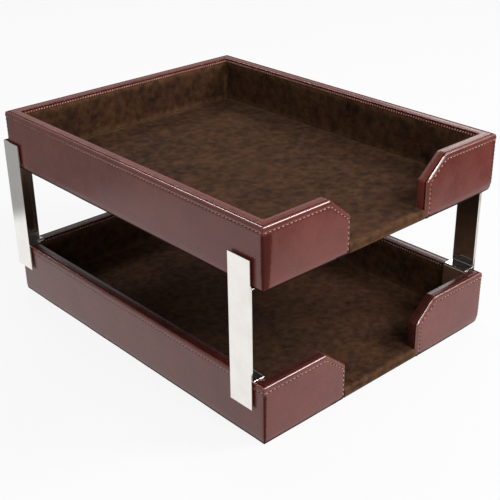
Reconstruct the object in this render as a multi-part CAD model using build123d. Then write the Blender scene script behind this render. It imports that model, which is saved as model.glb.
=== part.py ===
from build123d import *
from math import atan2, tan
import os

# Double letter tray: two open trays, leather outside and velveteen inside, one above the other.
# Four loose sheet-metal posts saddle the lower tray's walls and carry the upper tray on shelves.
# Millimetres. The origin is the centre of the lower tray's underside, +Z up.
# The front, where each tray has its finger opening, faces -Y.

# Outside of a tray, over the leather, and the clear height between the two trays
tray_width = 266.7
tray_depth = 342.9
tray_height = 50.8
deck_gap = 80.0

# Layers of a wall, from the outside in
leather_thickness = 2.0
wall_board_thickness = 7.4
lining_thickness = 1.0

# Leather strip that binds the top of a wall and turns down inside it
binding_thickness = 1.3
binding_lip = 4.2

# Base of a tray
felt_thickness = 0.6
felt_inset = 5.0
base_board_thickness = 6.4

# Shaped edges of the boards, and of the leather and lining over them
board_edge_radius = 0.4
fold_share = 0.6
tongue_edge_radius = 1.5
hem_share = 0.42
crease_share = 0.5
seam_setback = 0.2

# Finger opening between the two front stubs
opening_width = 89.0
chamfer_run = 22.5
chamfer_drop = 18.5

# Sheet metal of the posts
strip_thickness = 1.2
strip_width = 24.0
strip_overlap = 23.0
saddle_thickness = 1.2
saddle_width = 22.8
angle_leg = 25.0
rear_saddle_leg = 21.0
bend_share = 0.5
metal_edge_share = 0.2

# Fit of the posts on the trays
side_gap = 1.65
rear_gap = 3.5
tab_clearance = 0.3
tab_length = 24.0
shelf_reach = 11.0
front_post_inset = 10.5

# Extra length of a cutting solid past what it cuts
overrun = 5.0

# Depths inward from a tray's outer face, and half sizes in plan
half_width = tray_width / 2
half_depth = tray_depth / 2
half_opening = opening_width / 2
board_inside = leather_thickness + wall_board_thickness
lining_inside = board_inside + lining_thickness
binding_inside = board_inside + binding_thickness

# Levels above a tray's underside
board_floor = felt_thickness + leather_thickness
base_top = felt_thickness + base_board_thickness
floor_top = base_top + lining_thickness
board_top = tray_height - binding_thickness
lining_top = tray_height - binding_lip

# Levels of the posts, and of the upper tray's underside
deck_level = tray_height + deck_gap
shelf_floor = deck_level - saddle_thickness
bridge_top = tray_height + saddle_thickness
tab_floor = bridge_top - tab_length
post_floor = tray_height - strip_overlap
post_top = deck_level + strip_overlap

# Radii that follow from a thickness
leather_bend = leather_thickness * fold_share
hem_radius = leather_thickness * hem_share
crease_radius = binding_thickness * crease_share
saddle_bend = saddle_thickness * bend_share
angle_bend = strip_thickness * bend_share
strip_edge = strip_thickness * metal_edge_share
saddle_edge = saddle_thickness * metal_edge_share


def block(low, high):
    """A box between two opposite corners."""
    size = [b - a for a, b in zip(low, high)]
    middle = [(a + b) / 2 for a, b in zip(low, high)]
    return Pos(*middle) * Box(*size)


def outline(points):
    """A flat face inside a closed outline."""
    return make_face(Polyline(*points, close=True))


def rounded(section, corners):
    """A section with the vertex nearest to each listed point rounded to that point's radius."""
    for point, radius in corners:
        section = fillet(section.vertices().sort_by_distance(point)[0], radius)
    return section


def edges_at(solid, places):
    """The edge of a solid nearest to each listed place."""
    return [solid.edges().sort_by_distance(place)[0] for place in places]


def mirrored(solid):
    """The same piece on the other side of the tray's middle plane."""
    return mirror(solid, Plane.YZ)


def seen_from_front(section, near, far):
    """A section drawn as seen from the front, run from one place along Y to another."""
    plane = Plane(origin=(0, near, 0), x_dir=(1, 0, 0), z_dir=(0, -1, 0))
    return extrude(plane * section, near - far)


# Wall sections, X inward from the outer face and Y up


def plain_section(near, far, low, high):
    """A rectangular section between two depths and two levels."""
    return Pos((near + far) / 2, (low + high) / 2) * Rectangle(far - near, high - low)


def panel_section():
    """Section of a leather panel: down the outside, round the board's bottom edge and under it."""
    section = plain_section(0, leather_thickness, felt_thickness, tray_height)
    section += plain_section(0, board_inside, felt_thickness, board_floor)
    bends = [((0, felt_thickness), leather_bend), ((leather_thickness, board_floor), board_edge_radius)]
    return rounded(section, bends)


def binding_section():
    """Section of the binding strip: flat on the wall's top, turned down inside."""
    section = plain_section(leather_thickness, binding_inside, board_top, tray_height)
    section += plain_section(board_inside, binding_inside, lining_top, tray_height)
    edges = [(leather_thickness, tray_height), (binding_inside, tray_height)]
    return rounded(section, [(edge, crease_radius) for edge in edges])


def board_section(top):
    """Section of a wall board up to a level, its bottom outer edge rounded for the leather."""
    section = plain_section(leather_thickness, board_inside, board_floor, top)
    return rounded(section, [((leather_thickness, board_floor), board_edge_radius)])


# Walls, each run along its whole side of the tray and then cut


def wall_frame(side):
    """A frame at the middle of a wall's outer face: X runs inward, Y along the wall, Z up."""
    middles = {
        "left": ((-half_width, 0, 0), (1, 0, 0)),
        "right": ((half_width, 0, 0), (-1, 0, 0)),
        "rear": ((0, half_depth, 0), (0, -1, 0)),
        "front": ((0, -half_depth, 0), (0, 1, 0)),
    }
    origin, inward = middles[side]
    return Plane(origin=origin, x_dir=inward, z_dir=(0, 0, 1))


def half_length(side):
    """Half the outer length of a wall."""
    return half_depth if side in ("left", "right") else half_width


def along_wall(side, section):
    """A wall section run along a whole wall, with square ends."""
    frame = wall_frame(side)
    length = half_length(side)
    start = Plane(origin=frame.origin - frame.y_dir * length, x_dir=frame.x_dir, z_dir=-frame.y_dir)
    return extrude(start * section, -length - length)


def mitred_wall(side, section, setback):
    """A wall section run along a wall, its ends cut at 45 degrees and set back from the corner's plane."""
    end = half_length(side) - setback
    near, far = -overrun, binding_inside + overrun
    corner_cuts = [(near, near - end), (far, far - end), (far, end - far), (near, end - near)]
    keeper = extrude(wall_frame(side) * outline(corner_cuts), tray_height + overrun)
    return along_wall(side, section) & keeper


# Front stubs, drawn on the right-hand side


def stub_points(inset, floor):
    """A stub's outline from the front, drawn in along its top, slope and upright end."""
    slope = atan2(chamfer_drop, chamfer_run)
    steepness = atan2(chamfer_run, chamfer_drop)
    level = tray_height - inset
    shoulder = half_opening + chamfer_run + inset * tan(slope / 2)
    end = half_opening + inset
    elbow = tray_height - chamfer_drop - inset * tan(steepness / 2)
    return [(half_width, floor), (half_width, level), (shoulder, level), (end, elbow), (end, floor)]


def stub_keeper(inset, floor):
    """A deep prism that keeps what lies within a stub's outline."""
    return seen_from_front(outline(stub_points(inset, floor)), -half_depth - overrun, 0)


def stub_panel():
    """A stub's leather panel, its hem rounded along the top, slope and upright end."""
    panel = mitred_wall("front", panel_section(), seam_setback) & stub_keeper(0, 0)
    corners = stub_points(0, felt_thickness)[1:]
    middles = [((a[0] + b[0]) / 2, (a[1] + b[1]) / 2) for a, b in zip(corners, corners[1:])]
    depths = (-half_depth, leather_thickness - half_depth)
    return fillet(edges_at(panel, [(x, y, z) for y in depths for x, z in middles]), hem_radius)


def stub_binding():
    """A stub's part of the binding: its top, slope and upright end, and the lip behind them."""
    level_top = mitred_wall("front", binding_section(), 0) & stub_keeper(0, lining_top)
    edge_strip = along_wall("front", board_section(tray_height)) & stub_keeper(0, 0)
    edge_strip -= stub_keeper(binding_thickness, -overrun)
    lip_outline = outline(stub_points(0, floor_top))
    lip = seen_from_front(lip_outline, board_inside - half_depth, binding_inside - half_depth)
    lip -= stub_keeper(binding_lip, -overrun)
    shoulder = half_opening + chamfer_run + binding_lip
    slope_side = block((0, -half_depth, 0), (shoulder, half_depth, tray_height))
    return level_top + ((edge_strip + lip) & slope_side)


# The pieces of one tray


def make_felt():
    """The felt sheet under a tray, set in from the leather's rounded bottom edges."""
    x, y = half_width - felt_inset, half_depth - felt_inset
    return {"base_felt": block((-x, -y, 0), (x, y, felt_thickness))}


def make_boards():
    """The tray's stiff box: a base board with a tongue in the opening, and five wall boards."""
    inner_x, inner_y = half_width - board_inside, half_depth - board_inside
    tongue_front = lining_thickness - half_depth
    base = block((-inner_x, -inner_y, felt_thickness), (inner_x, inner_y, base_top))
    base += block((-half_opening, tongue_front, felt_thickness), (half_opening, -inner_y, base_top))
    base = fillet(edges_at(base, [(0, tongue_front, base_top)]), tongue_edge_radius)
    section = board_section(board_top)
    left, rear = mitred_wall("left", section, 0), mitred_wall("rear", section, 0)
    front = mitred_wall("front", section, 0) & stub_keeper(binding_thickness, 0)
    return {
        "base_board": base,
        "left_wall_board": left,
        "right_wall_board": mirrored(left),
        "rear_wall_board": rear,
        "front_left_wall_board": mirrored(front),
        "front_right_wall_board": front,
    }


def wall_panel(side):
    """The leather panel of a whole wall, with its top hem rounded."""
    panel = mitred_wall(side, panel_section(), seam_setback)
    frame = wall_frame(side)
    hem = [frame.from_local_coords((depth, 0, tray_height)) for depth in (0, leather_thickness)]
    return fillet(edges_at(panel, hem), hem_radius)


def make_leather():
    """The leather: an outer panel on each wall, and one binding strip round all the free edges."""
    left, rear, front = wall_panel("left"), wall_panel("rear"), stub_panel()
    front_strip = stub_binding()
    binding = front_strip + mirrored(front_strip)
    for side in ("left", "rear", "right"):
        binding += mitred_wall(side, binding_section(), 0)
    return {
        "left_leather_panel": left,
        "right_leather_panel": mirrored(left),
        "rear_leather_panel": rear,
        "front_left_leather_panel": mirrored(front),
        "front_right_leather_panel": front,
        "leather_edge_binding": binding,
    }


def make_linings():
    """The velveteen: a floor that folds down over the front of the base, and a lining on each wall."""
    inner_x, inner_y = half_width - board_inside, half_depth - board_inside
    fold_back = lining_thickness - half_depth
    floor = block((-inner_x, -inner_y, base_top), (inner_x, inner_y, floor_top))
    floor += block((-half_opening, -half_depth, base_top), (half_opening, -inner_y, floor_top))
    floor += block((-half_opening, -half_depth, felt_thickness), (half_opening, fold_back, base_top))
    fold_radius = tongue_edge_radius + lining_thickness
    floor = fillet(edges_at(floor, [(0, -half_depth, floor_top)]), fold_radius)
    floor = fillet(edges_at(floor, [(0, fold_back, base_top)]), tongue_edge_radius)
    section = plain_section(board_inside, lining_inside, floor_top, lining_top)
    lined_x = half_width - lining_inside
    left = along_wall("left", section) & block((-half_width, -inner_y, 0), (0, inner_y, tray_height))
    rear = along_wall("rear", section) & block((-lined_x, 0, 0), (lined_x, half_depth, tray_height))
    front = along_wall("front", section) & stub_keeper(binding_lip, 0)
    front &= block((0, -half_depth, 0), (lined_x, half_depth, tray_height))
    return {
        "floor_lining": floor,
        "left_lining": left,
        "right_lining": mirrored(left),
        "rear_lining": rear,
        "front_left_lining": mirrored(front),
        "front_right_lining": front,
    }


def make_tray():
    """Every piece of one tray, standing on the level of its own underside."""
    return {**make_felt(), **make_boards(), **make_leather(), **make_linings()}


# The posts, drawn on the right-hand side


def front_strip():
    """A front post's flat strip, outside both trays."""
    inner_face = half_width + side_gap
    front_edge = front_post_inset - half_depth
    low = (inner_face, front_edge, post_floor)
    high = (inner_face + strip_thickness, front_edge + strip_width, post_top)
    strip = block(low, high)
    return fillet(strip.edges(), strip_edge)


def front_saddle():
    """A front post's bent plate: a shelf, a web on the strip, a bridge over the wall and a tab inside."""
    web_back = half_width + side_gap
    web_face = web_back - saddle_thickness
    tab_face = half_width - binding_inside - tab_clearance
    tab_back = tab_face - saddle_thickness
    section = plain_section(half_width - shelf_reach, web_back, shelf_floor, deck_level)
    section += plain_section(web_face, web_back, tray_height, deck_level)
    section += plain_section(tab_back, web_back, tray_height, bridge_top)
    section += plain_section(tab_back, tab_face, tab_floor, bridge_top)
    outer_bends = [(web_back, deck_level), (web_back, tray_height), (tab_back, bridge_top)]
    inner_bends = [(web_face, shelf_floor), (web_face, bridge_top), (tab_face, tray_height)]
    section = rounded(section, [(point, saddle_bend + saddle_thickness) for point in outer_bends])
    section = rounded(section, [(point, saddle_bend) for point in inner_bends])
    near = front_post_inset - half_depth + (strip_width - saddle_width) / 2
    saddle = seen_from_front(section, near, near + saddle_width)
    ends = saddle.faces().sort_by(Axis.Y)
    return fillet(ends[0].edges() + ends[-1].edges(), saddle_edge)


def leg_ends(leg):
    """Where a rear post's two legs of a length end: the rear leg along X, and the side leg along Y."""
    outside_x = half_width + side_gap + strip_thickness
    outside_y = half_depth + rear_gap + strip_thickness
    return outside_x - leg, outside_y - leg


def corner_band(outer, inner, leg, low, high, corner_radius):
    """An L-shaped band round a rear corner, between two pairs of set-outs from the side and rear faces.

    Each leg ends at its length from the outside of the post, and the band's outer corner is rounded.
    """
    outer_x, outer_y = half_width + outer[0], half_depth + outer[1]
    inner_x, inner_y = half_width + inner[0], half_depth + inner[1]
    rear_end, side_end = leg_ends(leg)
    side_leg = [(inner_x, side_end), (outer_x, side_end)]
    rear_leg = [(rear_end, outer_y), (rear_end, inner_y)]
    band = outline([*side_leg, (outer_x, outer_y), *rear_leg, (inner_x, inner_y)])
    band = rounded(band, [((outer_x, outer_y), corner_radius)])
    return extrude(Plane.XY.offset(low) * band, high - low)


def set_outs(depth):
    """The side and rear set-outs of a face that lies a depth behind the angle's inner faces."""
    return side_gap - depth, rear_gap - depth


def rear_angle():
    """A rear post's angle, round the corners of both trays."""
    outside = set_outs(-strip_thickness)
    inside = set_outs(0)
    angle = corner_band(outside, inside, angle_leg, post_floor, post_top, angle_bend + strip_thickness)
    inner_corner = (half_width + inside[0], half_depth + inside[1], deck_level)
    angle = fillet(edges_at(angle, [inner_corner]), angle_bend)
    ends = angle.faces().sort_by(Axis.Z)
    return fillet(ends[0].edges() + ends[-1].edges(), strip_edge)


def rear_saddle():
    """A rear post's saddle: the front saddle's shelf, web, bridge and tab, each turned round the corner."""
    back = set_outs(0)
    web_face = set_outs(saddle_thickness)
    wall_inside = -binding_inside - tab_clearance
    tab_face = (wall_inside, wall_inside)
    tab_back = (wall_inside - saddle_thickness, wall_inside - saddle_thickness)
    shelf_end = (-shelf_reach, -shelf_reach)
    leg = rear_saddle_leg
    saddle = corner_band(back, web_face, leg, tray_height, deck_level, angle_bend)
    saddle += corner_band(back, tab_back, leg, tray_height, bridge_top, angle_bend)
    saddle += corner_band(tab_face, tab_back, leg, tab_floor, bridge_top, angle_bend)
    saddle += corner_band(back, shelf_end, leg, shelf_floor, deck_level, angle_bend)
    rear_end, side_end = leg_ends(leg)
    near_x = (rear_end + half_width + tab_back[0]) / 2
    near_y = (side_end + half_depth + tab_back[1]) / 2
    inner_bends = [(web_face, shelf_floor), (web_face, bridge_top), (tab_face, tray_height)]
    outer_bends = [(back, deck_level), (back, tray_height), (tab_back, bridge_top)]
    for bends, radius in ((inner_bends, saddle_bend), (outer_bends, saddle_bend + saddle_thickness)):
        for (side_out, rear_out), level in bends:
            places = [(half_width + side_out, near_y, level), (near_x, half_depth + rear_out, level)]
            saddle = fillet(edges_at(saddle, places), radius)
    ends = [saddle.faces().sort_by(axis)[0] for axis in (Axis.X, Axis.Y)]
    return fillet(ends[0].edges() + ends[1].edges(), saddle_edge)


def make_posts():
    """The four posts, the left-hand pair mirrored from the right-hand pair."""
    right_hand = {
        "front_{}_post_strip": front_strip(),
        "front_{}_post_saddle": front_saddle(),
        "rear_{}_post_angle": rear_angle(),
        "rear_{}_post_saddle": rear_saddle(),
    }
    pieces = {}
    for name, solid in right_hand.items():
        pieces[name.format("right")] = solid
        pieces[name.format("left")] = mirrored(solid)
    return pieces


def main():
    """Build both trays and the posts, and write each piece to its own file."""
    os.makedirs("parts", exist_ok=True)
    pieces = make_posts()
    for name, solid in make_tray().items():
        pieces["lower_" + name] = solid
        pieces["upper_" + name] = Pos(0, 0, deck_level) * solid
    for name, solid in pieces.items():
        export_step(solid, "parts/" + name + ".step")


main()
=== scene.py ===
"""Looks of the double letter tray: leather, velveteen, felt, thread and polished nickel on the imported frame.

Sizes are in metres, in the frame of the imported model: +Z up, the finger openings facing -Y.
"""

import logging
import math
from dataclasses import dataclass, field
from enum import Enum
from typing import Protocol, Sequence

import bmesh
import bpy
import numpy as np
from mathutils import Matrix, Vector, noise


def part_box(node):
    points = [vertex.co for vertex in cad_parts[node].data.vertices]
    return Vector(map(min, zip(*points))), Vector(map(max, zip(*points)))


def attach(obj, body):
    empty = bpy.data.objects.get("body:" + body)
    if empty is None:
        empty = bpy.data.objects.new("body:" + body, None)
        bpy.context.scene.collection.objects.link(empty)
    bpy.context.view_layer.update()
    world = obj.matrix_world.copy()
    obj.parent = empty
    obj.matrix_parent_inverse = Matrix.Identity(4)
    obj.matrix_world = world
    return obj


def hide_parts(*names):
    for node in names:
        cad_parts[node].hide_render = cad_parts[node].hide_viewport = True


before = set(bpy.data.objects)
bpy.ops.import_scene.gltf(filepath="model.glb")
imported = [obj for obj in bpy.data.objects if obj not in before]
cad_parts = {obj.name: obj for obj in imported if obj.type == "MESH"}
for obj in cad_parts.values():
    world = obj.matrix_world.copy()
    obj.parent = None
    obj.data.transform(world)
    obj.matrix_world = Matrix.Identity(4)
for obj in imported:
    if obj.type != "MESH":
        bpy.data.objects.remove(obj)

LOG = logging.getLogger("letter_tray")
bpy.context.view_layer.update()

Pair = tuple[float, float]
Triple = tuple[float, float, float]
Colour = tuple[float, float, float]
Feed = bpy.types.NodeSocket | float

# Distances from a cloth's edge at which it has points, as shares of the edge's round
EDGE_SHARES = np.array([0.0, 0.15, 0.5, 1.0])
# Points closer than this are one point
WELD = 1e-6
# Pattern points that agree to this many decimals are one point
PATTERN_DECIMALS = 7


class Wall(Enum):
    """A wall of a tray. The front wall is the two stubs beside the finger opening."""

    LEFT = "left"
    RIGHT = "right"
    REAR = "rear"
    FRONT_LEFT = "front_left"
    FRONT_RIGHT = "front_right"

    @property
    def is_stub(self) -> bool:
        """Whether this wall ends at the finger opening."""
        return self in (Wall.FRONT_LEFT, Wall.FRONT_RIGHT)

    @property
    def outward(self) -> np.ndarray:
        """The direction that the wall's outer face looks in."""
        sides = {Wall.LEFT: (-1, 0, 0), Wall.RIGHT: (1, 0, 0), Wall.REAR: (0, 1, 0)}
        return np.array(sides.get(self, (0, -1, 0)))


# How much of the width of the dark reflection painted near the corners each wall shows
DARK_REFLECTION_SHARES = {
    Wall.LEFT: 0.28, Wall.RIGHT: 0.1, Wall.REAR: 0.1, Wall.FRONT_LEFT: 1.0, Wall.FRONT_RIGHT: 0.35,
}


class Weight(Enum):
    """How a point's value falls off with distance."""

    SHARP = 2.0
    SOFT = 1.0


# Sizes read from the frame


@dataclass(frozen=True)
class TraySizes:
    """Sizes of one tray.

    Depths run inwards from a wall's outer face, and levels up from the tray's underside.
    """

    level: float
    half_width: float
    half_depth: float
    height: float
    leather: float
    board_inside: float
    lining_inside: float
    binding: float
    lip: float
    felt: float
    felt_inset: float
    board_floor: float
    base_top: float
    floor_top: float
    half_opening: float
    slope_run: float = 0.0225
    slope_drop: float = 0.0185
    bottom_bend: float = 0.0007
    front_fold: float = 0.0025

    @classmethod
    def from_frame(cls, tray: str) -> "TraySizes":
        """Read a tray's sizes from the boxes of its nodes.

        Args:
            tray: The tray's name in its nodes' names, lower or upper.

        Returns:
            The sizes of that tray.
        """
        felt_low, felt_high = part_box(f"{tray}_base_felt")
        panel_low, panel_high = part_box(f"{tray}_left_leather_panel")
        board_low, board_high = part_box(f"{tray}_left_wall_board")
        lining_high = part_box(f"{tray}_left_lining")[1]
        floor_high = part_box(f"{tray}_floor_lining")[1]
        base_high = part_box(f"{tray}_base_board")[1]
        rear_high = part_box(f"{tray}_rear_leather_panel")[1]
        stub_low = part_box(f"{tray}_front_right_leather_panel")[0]
        level, outside = felt_low.z, panel_low.x
        return cls(
            level=level,
            half_width=-outside,
            half_depth=rear_high.y,
            height=panel_high.z - level,
            leather=board_low.x - outside,
            board_inside=panel_high.x - outside,
            lining_inside=lining_high.x - outside,
            binding=panel_high.z - board_high.z,
            lip=panel_high.z - lining_high.z,
            felt=felt_high.z - level,
            felt_inset=felt_low.x - outside,
            board_floor=board_low.z - level,
            base_top=base_high.z - level,
            floor_top=floor_high.z - level,
            half_opening=stub_low.x,
        )

    @property
    def binding_inside(self) -> float:
        """Depth of the binding's inner face."""
        return self.board_inside + self.binding

    def half_length(self, wall: Wall) -> float:
        """Half the outer length of the side that a wall stands on."""
        return self.half_depth if wall in (Wall.LEFT, Wall.RIGHT) else self.half_width

    def shoulder(self, top: float, slope: float) -> Pair:
        """Where a stub's top and slope meet when each is drawn in.

        Args:
            top: How far the top line is drawn in.
            slope: How far the slope line is drawn in.

        Returns:
            The point's distance from the tray's middle, and its level.
        """
        level = self.height - top
        rise = level - (self.height - self.slope_drop)
        length = math.hypot(self.slope_run, self.slope_drop)
        along = (rise * self.slope_run + slope * length) / self.slope_drop
        return self.half_opening + along, level

    def elbow(self, slope: float, end: float) -> Pair:
        """Where a stub's slope and upright end meet when each is drawn in.

        Args:
            slope: How far the slope line is drawn in.
            end: How far the upright end is drawn in.

        Returns:
            The point's distance from the tray's middle, and its level.
        """
        length = math.hypot(self.slope_run, self.slope_drop)
        rise = (end * self.slope_drop - slope * length) / self.slope_run
        return self.half_opening + end, self.height - self.slope_drop + rise

    def place(self, wall: Wall, along: np.ndarray, depth: np.ndarray | float,
              level: np.ndarray) -> np.ndarray:
        """Points on a wall in the model's frame.

        Args:
            wall: The wall.
            along: Places along the wall, on a stub away from the tray's middle.
            depth: Depths inwards from the outer face.
            level: Levels above the tray's underside.

        Returns:
            One point a row.
        """
        along, depth, level = np.broadcast_arrays(along, depth, level)
        z = level + self.level
        if wall is Wall.LEFT:
            return np.stack([depth - self.half_width, along, z], axis=-1)
        if wall is Wall.RIGHT:
            return np.stack([self.half_width - depth, along, z], axis=-1)
        if wall is Wall.REAR:
            return np.stack([along, self.half_depth - depth, z], axis=-1)
        side = 1.0 if wall is Wall.FRONT_RIGHT else -1.0
        return np.stack([side * along, depth - self.half_depth, z], axis=-1)


# Helpers for points and meshes


def evenly(start: float, stop: float, step: float) -> np.ndarray:
    """Places from start to stop, evenly spaced at about a step."""
    count = max(1, round(abs(stop - start) / step))
    return np.linspace(start, stop, count + 1)


def edged(start: float, stop: float, step: float, radius: float) -> np.ndarray:
    """Places between two rounded edges, closer together at both."""
    near = radius * EDGE_SHARES
    middle = evenly(start + near[-1], stop - near[-1], step)
    return np.concatenate([start + near[:-1], middle, stop - near[-2::-1]])


def falloff(distance: np.ndarray, width: float, weight: Weight = Weight.SHARP) -> np.ndarray:
    """A value that is 1 at no distance and fades over a width."""
    return np.exp(-np.abs(distance / width) ** weight.value)


def eased(share: np.ndarray) -> np.ndarray:
    """A share from 0 to 1 that starts and ends gently."""
    share = np.clip(share, 0.0, 1.0)
    return share * share * (3 - 2 * share)


def rolled(distance: np.ndarray, radius: float | np.ndarray) -> np.ndarray:
    """How far a rounded edge falls away at a distance from the edge."""
    inside = np.clip(radius - distance, 0.0, radius)
    return radius - np.sqrt(np.maximum(radius**2 - inside**2, 0.0))


def rounded(distance: np.ndarray, radius: float) -> np.ndarray:
    """How far a panel falls away at a distance from a corner, which it rounds together with its neighbour."""
    near = np.clip(distance, 0.0, radius)
    return radius - (near + np.sqrt(2 * radius**2 - near**2)) / 2


def ripples(points: np.ndarray, size: float, height: float, seed: float) -> np.ndarray:
    """Soft unevenness of a hand-covered surface.

    Args:
        points: Points in the model's frame.
        size: Distance over which the surface changes.
        height: Greatest change.
        seed: Shift that makes one surface unlike another.

    Returns:
        One height for each point.
    """
    shift = Vector((seed, -seed, seed / 2))
    flat = points.reshape(-1, 3) / size
    values = [noise.noise(Vector(point) + shift) for point in flat]
    return height * np.array(values).reshape(points.shape[:-1])


def quads_of(rows: int, columns: int, start: int = 0, wrap: bool = False) -> np.ndarray:
    """Four-sided faces of a grid of points.

    Args:
        rows: How many rows the grid has.
        columns: How many points a row has.
        start: Index of the first point.
        wrap: Whether the last row joins the first.

    Returns:
        One face a row, as point indices.
    """
    index = np.arange(rows * columns).reshape(rows, columns) + start
    near = index if wrap else index[:-1]
    far = np.roll(index, -1, axis=0) if wrap else index[1:]
    corners = [near[:, :-1], near[:, 1:], far[:, 1:], far[:, :-1]]
    return np.stack(corners, axis=-1).reshape(-1, 4)


def new_piece(name: str, points: np.ndarray, faces: Sequence[Sequence[int]],
              edge: np.ndarray) -> bpy.types.Object:
    """Make a smooth mesh object whose points carry how near they lie to an edge.

    Args:
        name: The piece's name.
        points: Its points, one a row.
        faces: Its faces, as point indices.
        edge: For each point, up to 1 at a rubbed edge or where a sheen or highlight is painted, down to -1
            where shade or a dark reflection is painted, and 0 elsewhere.

    Returns:
        The object, at the origin, with its faces pointing outwards.
    """
    mesh = bpy.data.meshes.new(name)
    mesh.from_pydata(points.tolist(), [], [list(map(int, face)) for face in faces])
    mesh.attributes.new("edge", "FLOAT", "POINT").data.foreach_set("value", edge.astype(np.float32))
    shape = bmesh.new()
    shape.from_mesh(mesh)
    bmesh.ops.remove_doubles(shape, verts=shape.verts, dist=WELD)
    bmesh.ops.recalc_face_normals(shape, faces=shape.faces)
    if shape.calc_volume(signed=True) < 0:
        bmesh.ops.reverse_faces(shape, faces=shape.faces)
    shape.to_mesh(mesh)
    shape.free()
    mesh.shade_smooth()
    piece = bpy.data.objects.new(name, mesh)
    bpy.context.scene.collection.objects.link(piece)
    return piece


@dataclass
class Pattern:
    """A flat pattern of quads, as it is cut before it is laid on a board.

    Each point has its place along the wall, its height on the unrolled pattern, and its distance from the
    free edge.
    """

    along: np.ndarray
    rise: np.ndarray
    inset: np.ndarray
    quads: np.ndarray

    @classmethod
    def join(cls, grids: Sequence[np.ndarray]) -> "Pattern":
        """Join grids of pattern points that share border points.

        Args:
            grids: Arrays of rows, columns and the three values of a point.

        Returns:
            One pattern without doubled points.
        """
        values = np.concatenate([grid.reshape(-1, 3) for grid in grids])
        starts = np.cumsum([0] + [grid.shape[0] * grid.shape[1] for grid in grids])
        faces = np.concatenate([quads_of(*grid.shape[:2], start)
                                for grid, start in zip(grids, starts)])
        keys = np.round(values[:, :2], PATTERN_DECIMALS)
        _, first, same = np.unique(keys, axis=0, return_index=True, return_inverse=True)
        return cls(*values[first].T, same.reshape(-1)[faces])

    def shell(self, name: str, face: np.ndarray, back: np.ndarray, edge: np.ndarray,
              back_edge: np.ndarray | None = None) -> bpy.types.Object:
        """Make a closed skin from the pattern's two sides.

        Args:
            name: The piece's name.
            face: The shown side's points.
            back: The hidden side's points.
            edge: For each point, up to 1 at a rubbed edge or where a sheen or highlight is painted, down to -1
                where shade or a dark reflection is painted, and 0 elsewhere.
            back_edge: The same for the hidden side, if it differs.

        Returns:
            The piece.
        """
        count = len(face)
        sides = np.stack([self.quads, np.roll(self.quads, -1, axis=1)], axis=-1).reshape(-1, 2)
        taken = {tuple(side) for side in sides.tolist()}
        rim = [(b, a, a + count, b + count) for a, b in taken if (b, a) not in taken]
        faces = [*self.quads.tolist(), *(self.quads[:, ::-1] + count).tolist(), *rim]
        return new_piece(name, np.concatenate([face, back]), faces,
                         np.concatenate([edge, edge if back_edge is None else back_edge]))


# Finishes


class NodeBench:
    """A node tree with short ways to add, feed and join nodes."""

    def __init__(self, tree: bpy.types.NodeTree) -> None:
        """Work on a tree.

        Args:
            tree: The tree that gets the nodes.
        """
        self.tree = tree

    def join(self, source: bpy.types.NodeSocket, target: bpy.types.NodeSocket) -> None:
        """Link an output to an input."""
        self.tree.links.new(source, target)

    def feed(self, node: bpy.types.Node, inputs: dict[str | int, object]) -> None:
        """Let a node's inputs, by name or number, follow outputs or hold plain values."""
        for key, value in inputs.items():
            if isinstance(value, bpy.types.NodeSocket):
                self.join(value, node.inputs[key])
            else:
                node.inputs[key].default_value = value

    def add(self, kind: str, inputs: dict[str | int, object] | None = None,
            **settings: object) -> bpy.types.Node:
        """Add a node.

        Args:
            kind: The node's type.
            inputs: What its inputs follow or hold.
            settings: Its own settings.

        Returns:
            The node.
        """
        node = self.tree.nodes.new(kind)
        for name, value in settings.items():
            setattr(node, name, value)
        self.feed(node, inputs or {})
        return node

    def math(self, operation: str, first: Feed, second: Feed) -> bpy.types.NodeSocket:
        """A sum, product or other working of two values."""
        return self.add("ShaderNodeMath", {0: first, 1: second}, operation=operation).outputs["Value"]

    def ranged(self, source: bpy.types.NodeSocket, low: float, high: float, to_low: Feed = 0.0,
               to_high: Feed = 1.0, **settings: object) -> bpy.types.NodeSocket:
        """A value moved from one range to another."""
        inputs = {"Value": source, "From Min": low, "From Max": high, "To Min": to_low, "To Max": to_high}
        return self.add("ShaderNodeMapRange", inputs, **settings).outputs["Result"]

    def vector(self, x: Feed = 0.0, y: Feed = 0.0, z: Feed = 0.0) -> bpy.types.NodeSocket:
        """Three values as one vector."""
        return self.add("ShaderNodeCombineXYZ", {0: x, 1: y, 2: z}).outputs[0]


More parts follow.
